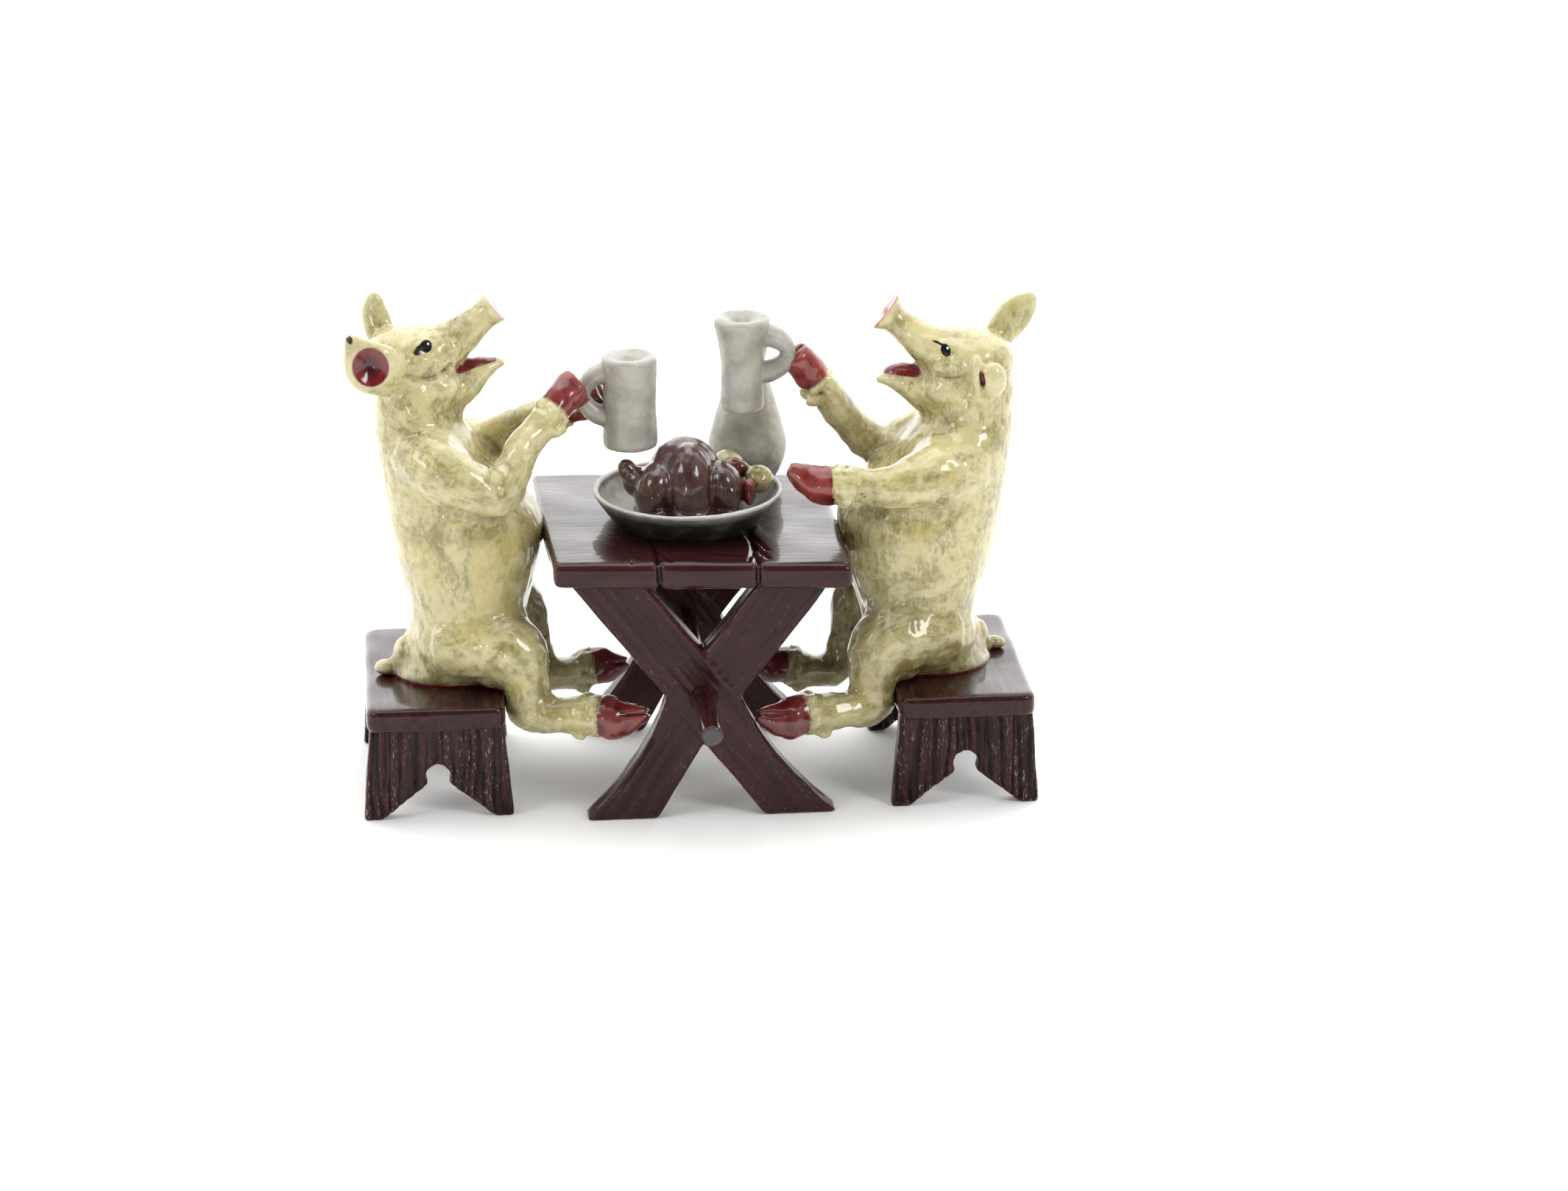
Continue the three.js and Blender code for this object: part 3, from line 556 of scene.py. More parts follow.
def arc(centre, half, start, end, steps):
    turns = np.radians(np.linspace(start, end, steps))
    return [(centre[0] + half[0] * math.cos(t), centre[1] + half[1] * math.sin(t)) for t in turns]


def curve(first, pull, last, steps):
    rows = []
    for s in np.linspace(0, 1, steps):
        early, mid, late = (1 - s) ** 2, 2 * s * (1 - s), s * s
        rows.append(tuple(early * a + mid * b + late * c for a, b, c in zip(first, pull, last)))
    return rows


def lathe(bm, profile, centre, bottom, steps=72):  # profile of radius and height, from axis to axis
    path = [bm.verts.new((centre[0] + r, centre[1], bottom + z)) for r, z in profile]
    lines = [bm.edges.new(pair) for pair in zip(path, path[1:])]
    axis = dict(cent=(centre[0], centre[1], 0), axis=(0, 0, 1))
    bmesh.ops.spin(bm, geom=path + lines, angle=math.tau, steps=steps, use_merge=True, **axis)
    bmesh.ops.remove_doubles(bm, verts=bm.verts[:], dist=0.001)


def block(bm, lo, hi):
    placed = Matrix.Translation((lo + hi) / 2) @ Matrix.Diagonal((*(hi - lo), 1))
    bmesh.ops.create_cube(bm, size=1, matrix=placed)


def castRippled(bm, name, setup, seed=0):  # a cast skin with the ripples and the relief of its setup
    piece = cast(toObject(bm, name), setup["voxel"], setup["soften"])
    push(piece, ripples(points(piece), setup["ripples"], seed))
    keepRelief(piece, setup["reliefRounds"])
    return piece


# each wood below gets its own strength of painted glints
wood = woodPaint("woodPaint", carved=0.4, chips=0.12, coat=0.2, paintedLightStrength=0.12, spread=0.3)
carvedWood = {
    "left": woodPaint("leftCarvedPaint", carved=1, chips=0.9, coat=0.2, paintedLightStrength=0.6, spread=0.14),
    "right": woodPaint("rightCarvedPaint", carved=0.7, chips=0.9, coat=0.1, paintedLightStrength=0.5, spread=0.14),
}
boardWood = woodPaint("boardPaint", carved=0.04, chips=0.04, coat=1, paintedLightStrength=0, spread=0.2, coatIor=1.25)
pewter = pewterPaint()
bronze = bareBronze()
# the bright tints below are painted highlights on the ridges
roastGlaze = glazePaint("roastGlaze", deep=(0.042, 0.014, 0.013), mid=(0.075, 0.027, 0.023),
                        bright=(0.1, 0.038, 0.031), pitted=0.02)
creamPaint = glazePaint("creamPaint", deep=(0.16, 0.125, 0.04), mid=(0.4, 0.34, 0.13),
                        bright=(0.52, 0.48, 0.25), pitted=0.3)
redPaint = glazePaint("redPaint", deep=(0.07, 0.004, 0.005), mid=(0.17, 0.014, 0.014),
                      bright=(0.32, 0.06, 0.05), pitted=0.3)
print("paints mixed")

# table top: three planks in one slab, a little out of level and out of square
tableTop = {
    "round": 0.95, "tilt": -0.034, "skew": 1.3, "sink": 0.2,
    "joints": (0.347, 0.683), "jointWidth": 0.32, "jointDepth": 0.5, "jointWander": 0.35,
    "scores": [  # place along the front and slant of short scored lines, and their reach from the front
        (0.26, 0.1, 0.2, 2.2), (0.4, -0.3, 0.6, 6), (0.645, 0.2, 1, 9),
        (0.715, -0.15, 3, 10), (0.735, -0.22, 2, 13), (0.76, -0.25, 5, 14),
    ],
    "scoreWidth": 0.22, "scoreDepth": 0.3,
    "ripples": [(0.2, 0.13, 3), (0.012, (0.3, 1.2, 0.8), 9)],
    "voxel": 0.26, "soften": 3, "reliefRounds": 12,
}
tableSize = tableHi - tableLo
bm = bmesh.new()
block(bm, tableLo, tableHi)
roundEdges(bm, tableTop["round"])
piece = cast(toObject(bm, "tableTop"), tableTop["voxel"], tableTop["soften"])
spot = points(piece)
fromFront = spot[:, 1] - tableLo.y
amount = ripples(spot, tableTop["ripples"])
for share in tableTop["joints"]:
    wander = tableTop["jointWander"] * lumps(spot, (0, 0.12, 0.12), share * 50)
    joint = tableLo.x + share * tableSize.x + wander
    shape = np.exp(-((spot[:, 0] - joint) / tableTop["jointWidth"]) ** 2)
    amount -= tableTop["jointDepth"] * shape * (0.4 + 1.1 * np.exp(-fromFront / 3.5))  # deeper at the front
for share, slant, start, end in tableTop["scores"]:
    line = tableLo.x + share * tableSize.x + slant * fromFront
    shape = np.exp(-((spot[:, 0] - line) / tableTop["scoreWidth"]) ** 2)
    score = tableTop["scoreDepth"] * shape * np.clip(fromFront - start, 0, 1)
    amount -= score * np.clip(end - fromFront, 0, 1)
push(piece, amount)
spot = points(piece)
leftShare = np.clip((tableMiddle.x - spot[:, 0]) / tableSize.x * 2, 0, 1)
spot[:, 0] -= tableTop["skew"] * leftShare * fromFront / tableSize.y
spot[:, 2] += tableTop["tilt"] * (spot[:, 0] - tableMiddle.x) - tableTop["sink"]
setPoints(piece, spot)
keep(piece, "grain", spot)
keepRelief(piece, tableTop["reliefRounds"])
settle(piece, boardWood, "wood_paint", "table_top")

# trestles: two half-lapped bars each
trestle = {
    "arm": 12.1, "half": 4.9, "cross": 16.9, "foot": 11.9, "footHalf": 4.8, "shift": 1, "flare": 3.2,
    "reachUp": 1.2, "round": 0.4, "lap": 0.08, "lapHeight": 6, "lapShare": 0.8, "soleHeight": 0.6,
    "grainApart": 80,  # keeps the two bars' grain from running on from one to the other
    "grainRipples": [(0.2, (0.04, 1.1, 0.5), 5)], "ripples": [(0.12, 0.22, 17)],
    "voxel": 0.26, "soften": 3, "reliefRounds": 12,
}
armTop = tableLo.z + trestle["reachUp"]


def barsAt(x, z):  # places along and across the two bars of a trestle
    up = z > trestle["cross"]
    legX = np.where(up, trestle["arm"], trestle["foot"])
    legZ = np.where(up, tableLo.z - trestle["cross"], trestle["cross"])
    length = np.hypot(legX, legZ)
    high = (z - trestle["cross"]) / length
    shift = np.where(up, 0, trestle["shift"] * (1 - z / trestle["cross"]))
    falling = ((x - shift) * legZ / length + high * legX, (x - shift) * legX / length - high * legZ)
    rising = ((x - shift) * legZ / length - high * legX, (x - shift) * legX / length + high * legZ)
    return falling, rising


for name, node in (("frontTrestle", "front_trestle"), ("backTrestle", "back_trestle")):
    lo, hi = boxOf(node)
    arm, half, cross, footHalf = (trestle[key] for key in ("arm", "half", "cross", "footHalf"))
    vee = half * (tableLo.z - cross) / arm
    left, right = trestle["shift"] - trestle["foot"], trestle["shift"] + trestle["foot"]
    slope = arm / (tableLo.z - cross) * trestle["reachUp"]
    leftPull = (left - footHalf - half) / 2 + trestle["flare"]
    rightPull = (right + footHalf + half) / 2 - trestle["flare"]
    outline = [(-arm - half - slope, armTop)]
    outline += curve((-half, cross), (leftPull, cross / 2), (left - footHalf, 0), 7)
    outline += [(left + footHalf, 0), (0, cross - vee), (right - footHalf, 0)]
    outline += curve((right + footHalf, 0), (rightPull, cross / 2), (half, cross), 7)
    outline += [(arm + half + slope, armTop), (arm - half + slope, armTop)]
    outline += [(0, cross + vee), (half - arm - slope, armTop)]
    bm = bmesh.new()
    slab(bm, [(x + tableMiddle.x, z) for x, z in outline], lo.y, hi.y - lo.y)
    roundEdges(bm, trestle["round"])
    piece = cast(toObject(bm, name), trestle["voxel"], trestle["soften"])
    spot = points(piece)
    falling, rising = barsAt(spot[:, 0] - tableMiddle.x, spot[:, 2])
    onFalling = np.abs(falling[0]) < np.abs(rising[0])
    atCross = np.abs(spot[:, 2] - cross) < trestle["lapHeight"]
    onFalling |= (np.abs(falling[0]) < half * trestle["lapShare"]) & atCross
    across = np.where(onFalling, falling[0], rising[0])
    along = np.where(onFalling, falling[1], rising[1]) + trestle["grainApart"] * onFalling
    grain = np.stack((along, across, spot[:, 1]), 1)
    amount = ripples(grain, trestle["grainRipples"]) + ripples(spot, trestle["ripples"])
    amount += np.where(onFalling, trestle["lap"], -trestle["lap"]) * (np.abs(facing(piece)[:, 1]) > 0.6)
    push(piece, amount * np.clip(spot[:, 2] / trestle["soleHeight"], 0, 1))
    keep(piece, "grain", grain)
    keepRelief(piece, trestle["reliefRounds"])
    settle(piece, wood, "wood_paint", node)

# rod between the trestles
rod = {
    "round": 0.35, "segments": 40, "collar": 1.1, "glaze": 0.6, "ripples": [(0.1, (0.6, 0.25, 0.6), 31)],
    "voxel": 0.2, "soften": 2, "reliefRounds": 10,
}
lo, hi = boxOf("stretcher_rod")
reach = hi - lo
girth = reach.x / 2
bm = bmesh.new()
turn = Matrix.Translation((lo + hi) / 2) @ Matrix.Rotation(math.pi / 2, 4, "X")
bmesh.ops.create_cone(bm, cap_ends=True, segments=rod["segments"], radius1=girth, radius2=girth,
                      depth=reach.y, matrix=turn)
roundEdges(bm, rod["round"])
piece = cast(toObject(bm, "stretcherRod"), rod["voxel"], rod["soften"])
spot = points(piece)
fromTrestle = (spot[:, 1] - boxOf("front_trestle")[0].y) / rod["collar"]
push(piece, ripples(spot, rod["ripples"]) + rod["glaze"] * np.exp(-fromTrestle ** 2))
keep(piece, "grain", spot[:, (1, 0, 2)])
keep(piece, "bare", np.clip(-facing(piece)[:, 1] * 4 - 2.6, 0, 1))  # the front end
keepRelief(piece, rod["reliefRounds"])
settle(piece, boardWood, "wood_paint", "stretcher_rod")
print("table built")

# benches: a seat on two carved leg boards
benchSeat = {
    "round": 0.8, "corner": 1.6, "drop": 0.45, "seeds": {"left": 40, "right": 47},
    "ripples": [(0.2, 0.16, 0), (0.012, (1.4, 0.3, 0.9), 0)], "voxel": 0.26, "soften": 4, "reliefRounds": 12,
}
benchBoard = {
    "top": 8.8, "foot": 9.9, "notch": 7.4, "hole": 1.65, "holeHeight": 5.9, "neck": 1.3,
    "reachUp": 1.2, "round": 0.35, "soleHeight": 0.7,
    "grooves": 0.6, "grooveScale": (0.8, 1, 0.03), "grooveFlank": 3.4,
    "wander": [(0.5, (0.12, 0.2, 0.16), 0)],  # how far the carved lines stray
    "scratches": [(0.14, (2.1, 1, 0.06), 3)], "ripples": [(0.12, 0.25, 4)],
    "voxel": 0.22, "soften": 2, "reliefRounds": 10,
}
for side in ("left", "right"):
    lo, hi = boxOf(side + "_bench_seat")
    lo.z -= benchSeat["drop"]
    middle = (lo + hi) / 2
    bm = bmesh.new()
    block(bm, lo, hi)
    upright = [e for e in bm.edges if abs(e.verts[0].co.z - e.verts[1].co.z) > 1]
    bmesh.ops.bevel(bm, geom=upright, offset=benchSeat["corner"], affect="EDGES", segments=4,
                    profile=0.5, material=-1)
    roundEdges(bm, benchSeat["round"])
    seed = benchSeat["seeds"][side]
    piece = castRippled(bm, side + "BenchSeat", benchSeat, seed)
    keep(piece, "grain", points(piece)[:, (1, 0, 2)])
    settle(piece, boardWood, "wood_paint", side + "_bench_seat")
    for end in ("front", "back"):
        node = f"{side}_bench_{end}_board"
        boardLo, boardHi = boxOf(node)
        wide, foot, notch, hole = (benchBoard[key] for key in ("top", "foot", "notch", "hole"))
        neckTurn = math.degrees(math.asin(benchBoard["neck"] / hole))
        high = lo.z + benchBoard["reachUp"]
        outline = [(-wide, high), (-foot, 0), (-notch, 0)]
        outline += arc((0, benchBoard["holeHeight"]), (hole, hole), 270 - neckTurn, neckTurn - 90, 15)
        outline += [(notch, 0), (foot, 0), (wide, high)]
        bm = bmesh.new()
        slab(bm, [(x + middle.x, z) for x, z in outline], boardLo.y, boardHi.y - boardLo.y)
        roundEdges(bm, benchBoard["round"])
        name = f"{side}Bench{end.capitalize()}Board"
        piece = cast(toObject(bm, name), benchBoard["voxel"], benchBoard["soften"])
        spot = points(piece)
        seed += 5
        bend = spot[:, 0] - middle.x + ripples(spot, benchBoard["wander"], seed)
        lines = np.stack((bend, spot[:, 1] * 0, spot[:, 2]), 1)
        flank = np.abs(lumps(lines, benchBoard["grooveScale"], seed + 2))
        cut = np.clip(1 - benchBoard["grooveFlank"] * flank, 0, 1)
        carving = ripples(lines, benchBoard["scratches"], seed) - benchBoard["grooves"] * cut ** 2
        amount = carving * np.abs(facing(piece)[:, 1]) + ripples(spot, benchBoard["ripples"], seed)
        push(piece, amount * np.clip(spot[:, 2] / benchBoard["soleHeight"], 0, 1))
        keep(piece, "grain", points(piece)[:, (2, 0, 1)])
        keepRelief(piece, benchBoard["reliefRounds"])
        settle(piece, carvedWood[side], "wood_paint", node)
print("benches built")

# dish
dish = {
    "rim": 12.7, "foot": 9.5, "height": 4.9, "floor": 1.3, "floorRadius": 8.4, "lip": 0.8, "sink": 0.3,
    "wallPull": (1.9, 1.7),  # inward from the rim, and up
    "stain": 4.9, "ripples": [(0.13, 0.14, 61), (0.05, 0.9, 63)],
    "voxel": 0.22, "soften": 3, "reliefRounds": 12,
}
lo, hi = boxOf("serving_dish")
dishAt = (lo + hi) / 2
rim, foot, lip, height = (dish[key] for key in ("rim", "foot", "lip", "height"))
floorEdge = (dish["floorRadius"], dish["floor"])
inward, upward = dish["wallPull"]
profile = [(0, 0), (foot - 0.3, 0)]
profile += curve((foot, 0.3), (rim - inward, upward), (rim - 0.05, height - lip / 2), 10)
profile += arc((rim - lip / 2 - 0.05, height - lip / 2), (lip / 2, lip / 2), 0, 180, 9)
innerPull = ((rim + dish["floorRadius"]) / 2, dish["floor"] + 0.6)
profile += curve((rim - lip - 0.1, height - lip), innerPull, floorEdge, 10)
profile += [(dish["floorRadius"] * 0.5, dish["floor"]), (0, dish["floor"])]
bm = bmesh.new()
lathe(bm, profile, dishAt, lo.z - dish["sink"], 96)
piece = castRippled(bm, "servingDish", dish)
# outside wall darker where it faces down and towards the foot: painted shade, with some dark paint at the
# foot
outside = np.clip(1.4 - facing(piece)[:, 2] * 3, 0, 1)
low = np.clip((dish["stain"] - (points(piece)[:, 2] - lo.z)) / 2, 0, 1)
keep(piece, "stain", outside * low)
settle(piece, pewter, "pewter_paint", "serving_dish")

# roast in the dish: back, breast ridge, thighs with knuckles, wings, gravy
roast = {
    "ovals": [
        ((-0.3, 1.6, 3.6), (5.2, 4.8, 6.2), 0),
        ((0.1, -0.6, 3), (3.5, 4.4, 6.6), 0),
        ((-4.6, -0.8, 3.2), (2.6, 3.4, 3.9), 0.2),
        ((4.8, -0.8, 3.3), (2.5, 3.2, 3.8), -0.2),
        ((-4.6, -3.5, 3), (1.2, 0.9, 1.2), 0),
        ((5.2, -3.2, 3.2), (1.2, 0.9, 1.2), 0),
        ((-6.3, 0.8, 3.8), (2.3, 1.9, 2.2), 0.6),
        ((-7.8, 1.2, 5.4), (1.3, 1.2, 1.7), -0.6),
        ((7, -0.4, 2.6), (1, 1.2, 1.7), 0),
        ((0.1, 0.2, 0.1), (7.6, 7, 0.8), 0),
    ],
    "bed": 1.3, "foldHold": 0.7, "foldRounds": 8, "ripples": [(0.12, 0.4, 71)],
    "voxel": 0.2, "soften": 4, "reliefRounds": 14,
}
bm = bmesh.new()
base = Vector((dishAt.x, dishAt.y, tableHi.z + roast["bed"]))
for at, half, turn in roast["ovals"]:
    oval(bm, base + Vector(at), half, turn)
piece = cast(toObject(bm, "roastBird"), roast["voxel"], roast["soften"])
easeFolds(piece, np.full(len(piece.data.vertices), roast["foldHold"]), roast["foldRounds"])
push(piece, ripples(points(piece), roast["ripples"]))
keepRelief(piece, roast["reliefRounds"])
settle(piece, roastGlaze, "roast_glaze", "roast_bird")

# dumplings and fruit
garnish = {
    "pieces": {
        "back_dumpling": ("backDumpling", creamPaint, "cream_paint"),
        "side_dumpling": ("sideDumpling", creamPaint, "cream_paint"),
        "back_fruit": ("backFruit", redPaint, "red_paint"),
        "side_fruit": ("sideFruit", redPaint, "red_paint"),
    },
    "seedStep": 7, "ripples": [(0.16, 0.6, 0), (0.05, 2, 0)], "voxel": 0.16, "soften": 2, "reliefRounds": 12,
}
for order, (node, (name, material, slot)) in enumerate(garnish["pieces"].items()):
    lo, hi = boxOf(node)
    bm = bmesh.new()
    oval(bm, (lo + hi) / 2, (hi - lo) / 2)
    bmesh.ops.subdivide_edges(bm, edges=bm.edges[:], cuts=1, use_grid_fill=True)
    piece = castRippled(bm, name, garnish, order * garnish["seedStep"])
    settle(piece, material, slot, node)

# jug
jug = {
    "foot": 3.3, "neck": 2.5, "sink": 0.3,
    "sides": [(4.5, 0.1), (5.35, 0.26), (4.6, 0.44), (3.3, 0.66), (2.5, 0.84)],  # radius, share of the height
    "stain": 5, "stainAndShadeShare": 0.4, "ripples": [(0.14, 0.22, 81), (0.05, 1.1, 83)],
    "voxel": 0.22, "soften": 3, "reliefRounds": 12,
}
lo, hi = boxOf("jug")
jugAt, tall = (lo + hi) / 2, hi.z - lo.z
foot, neck = jug["foot"], jug["neck"]
body = [(foot, 0.2), *((radius, tall * share) for radius, share in jug["sides"]), (neck + 0.35, tall - 0.4)]
profile = [(0, 0), (foot - 0.4, 0)] + [tuple(p) for p in spline(body, 6)]
profile += [(neck + 0.1, tall), (neck - 0.5, tall - 0.1), (neck - 0.9, tall - 1.6), (0, tall - 2.4)]
bm = bmesh.new()
lathe(bm, profile, jugAt, lo.z - jug["sink"])
piece = castRippled(bm, "jug", jug)
# darker towards the foot: painted shade, with some dark paint
keep(piece, "stain", jug["stainAndShadeShare"] * np.clip(1 - (points(piece)[:, 2] - lo.z) / jug["stain"], 0, 1))
settle(piece, pewter, "pewter_paint", "jug")

# tankards: a waisted cup with a loop handle on the drinker's side
tankards = {
    "left": {"foot": 3.65, "waist": 3.5, "rim": 3.65, "handleHeight": 7.3, "handleReach": 3.5,
             "handleHalf": 3, "handleGirth": 0.95, "turn": -1},
    "right": {"foot": 3.0, "waist": 2.8, "rim": 3.7, "handleHeight": 7.6, "handleReach": 4.2,
              "handleHalf": 2.6, "handleGirth": 1.05, "turn": 1},
}
cupSkin = {"ripples": [(0.1, 0.35, 91), (0.05, 1.2, 93)], "voxel": 0.19, "soften": 3, "reliefRounds": 10}
for side, cup in tankards.items():
    lo, hi = boxOf(side + "_tankard")
    tall = hi.z - lo.z
    foot, waist, rim = cup["foot"], cup["waist"], cup["rim"]
    centre = Vector((hi.x - rim if cup["turn"] < 0 else lo.x + rim, (lo.y + hi.y) / 2, lo.z))
    profile = [(0, 0), (foot - 0.5, 0), (foot - 0.1, 0.25)]
    profile += curve((foot, 0.8), (2 * waist - (foot + rim) / 2, tall / 2), (rim, tall - 0.9), 12)
    profile += [(rim + 0.02, tall - 0.45), (rim - 0.25, tall - 0.05), (rim - 0.7, tall)]
    profile += [(2.3, tall - 0.15), (1.4, tall - 0.5), (0.7, tall - 1.1), (0, tall - 1.5)]  # shallow hollow
    bm = bmesh.new()
    lathe(bm, profile, centre, lo.z, 64)
    handle = []
    for x, z in arc((0, 0), (1, 1), 90, 270, 17):
        away = waist - 0.6 - (cup["handleReach"] - 0.25) * x
        girth = cup["handleGirth"] + 0.5 * abs(z)
        height = lo.z + cup["handleHeight"] + z * cup["handleHalf"]
        handle.append((centre.x + cup["turn"] * away, centre.y, height, girth, girth))
    loft(bm, np.array(handle), 16)
    piece = castRippled(bm, side + "Tankard", cupSkin)
    settle(piece, pewter, "pewter_paint", side + "_tankard")
for node in ("dish_pin", "jug_pin", "left_seat_stud", "right_seat_stud", "left_seat_nut", "right_seat_nut"):
    shown = next(o for o in scene.objects if o.name == node)
    shown.data.materials.clear()
    shown.data.materials.append(bronze)
print("meal and vessels built")

# pigs: places run from the middle of the seat forward, towards the viewer and up, then half depth and width
pigShape = {
    "head": [
        (-6.4, 0, 40.9, 2.2, 2.5), (-4.8, 0, 42, 4.4, 4.9), (-2, 0, 43.5, 4.5, 5.7), (1, 0, 44.5, 3.6, 5.1),
        (3.7, 0, 45.7, 2.9, 3.8), (6.2, 0, 47.6, 2.3, 2.9), (8.1, 0, 49.1, 1.95, 2.2),
        (9.5, 0, 50.2, 2.4, 2.6),
    ],
    "headPads": [  # cheeks, on both sides
        ((0.9, 3.8, 40.3), (3.5, 2.2, 2.3)), ((2.2, 3.4, 43.2), (2, 1.3, 1.7)),
    ],
    "bodyPads": [  # haunches, on both sides
        ((4.2, 5, 5.4), (6.6, 5.2, 6)), ((7.4, 6, 8), (5.4, 4.2, 5.6)), ((8.2, 7.8, 2.4), (3.4, 3, 2.8)),
    ],
    "nearLeg": [
        (2, 4.6, 6, 5.6), (7, 7, 6, 5.4), (10.6, 8.8, 4.9, 4.5), (12, 9.7, 0.6, 3.2), (12.4, 10.4, -2.6, 2.9),
        (16.8, 11.7, -2.9, 2.45), (21.8, 13.2, -2.6, 2.75), (24.2, 14, -2.9, 2.7), (28, 15, -1.8, 0.8),
    ],
    "farLeg": [
        (2.5, -5, 5, 5), (7.5, -6.8, 5.6, 4.8), (11.8, -7.2, 5.8, 3.7), (14, -7, 0.4, 2.2),
        (15, -6.6, -3.7, 2.4), (18.4, -6.4, -4, 2.3), (22, -6.4, -3.1, 2.5), (24, -6.3, -3.1, 2.3),
        (26.6, -6.2, -2.6, 0.8),
    ],
    "armSteps": (17, 13), "legSteps": (22, 17),  # how many steps from the tip the dewclaws and the red start
    "voxel": 0.28, "soften": 4, "reliefRounds": 24,
    "ripples": [(0.1, (0.28, 0.28, 0.2), 0), (0.07, (1.1, 1.1, 0.45), 3)],
    "foldRounds": 14, "foldHold": 0.85, "foldHeight": 4, "earReach": 1.5,
    "lid": 0.4, "lidReach": 1.8,
    "gapeHeight": 3.6, "gapeWidth": 4, "tongueReach": 0.25,
    "discAbove": 42, "discEdge": 0.3,
    "nostrilApart": 0.95, "nostrilUp": 0.1, "nostrilDepth": 0.55, "nostrilWidth": 0.5,
    "limbRipples": [(0.22, 0.5, 9)], "ruffle": 0.15, "ruffleRipples": [(0.5, 0.9, 7)], "ruffleWidth": 1.3,
    "cleftSteps": 9, "cleftFade": 1.5, "cleftDepth": 0.4, "cleftWidth": 0.28,
    # the next lines set the darkening towards the bottom, painted shade under the table edge at the belly and
    # on the far side low down, and painted shade where the sky close by is covered
    "darkeningTop": 24, "darkeningFade": 22,
    "bellyShade": 0.7, "bellyAt": (13.5, 21.5), "bellyReach": 4.5,
    "farShade": 0.3, "farFade": 6, "farTop": 10,
    "recess": 4.5, "recessFrom": 0.22, "recessGain": 1.7,  # painted shade where the sky close by is covered
    "footprint": (9, 0.35),  # red line round the seat: how far forward, and half its height
    "eyeThrough": 60, "seam": 0.8,
}
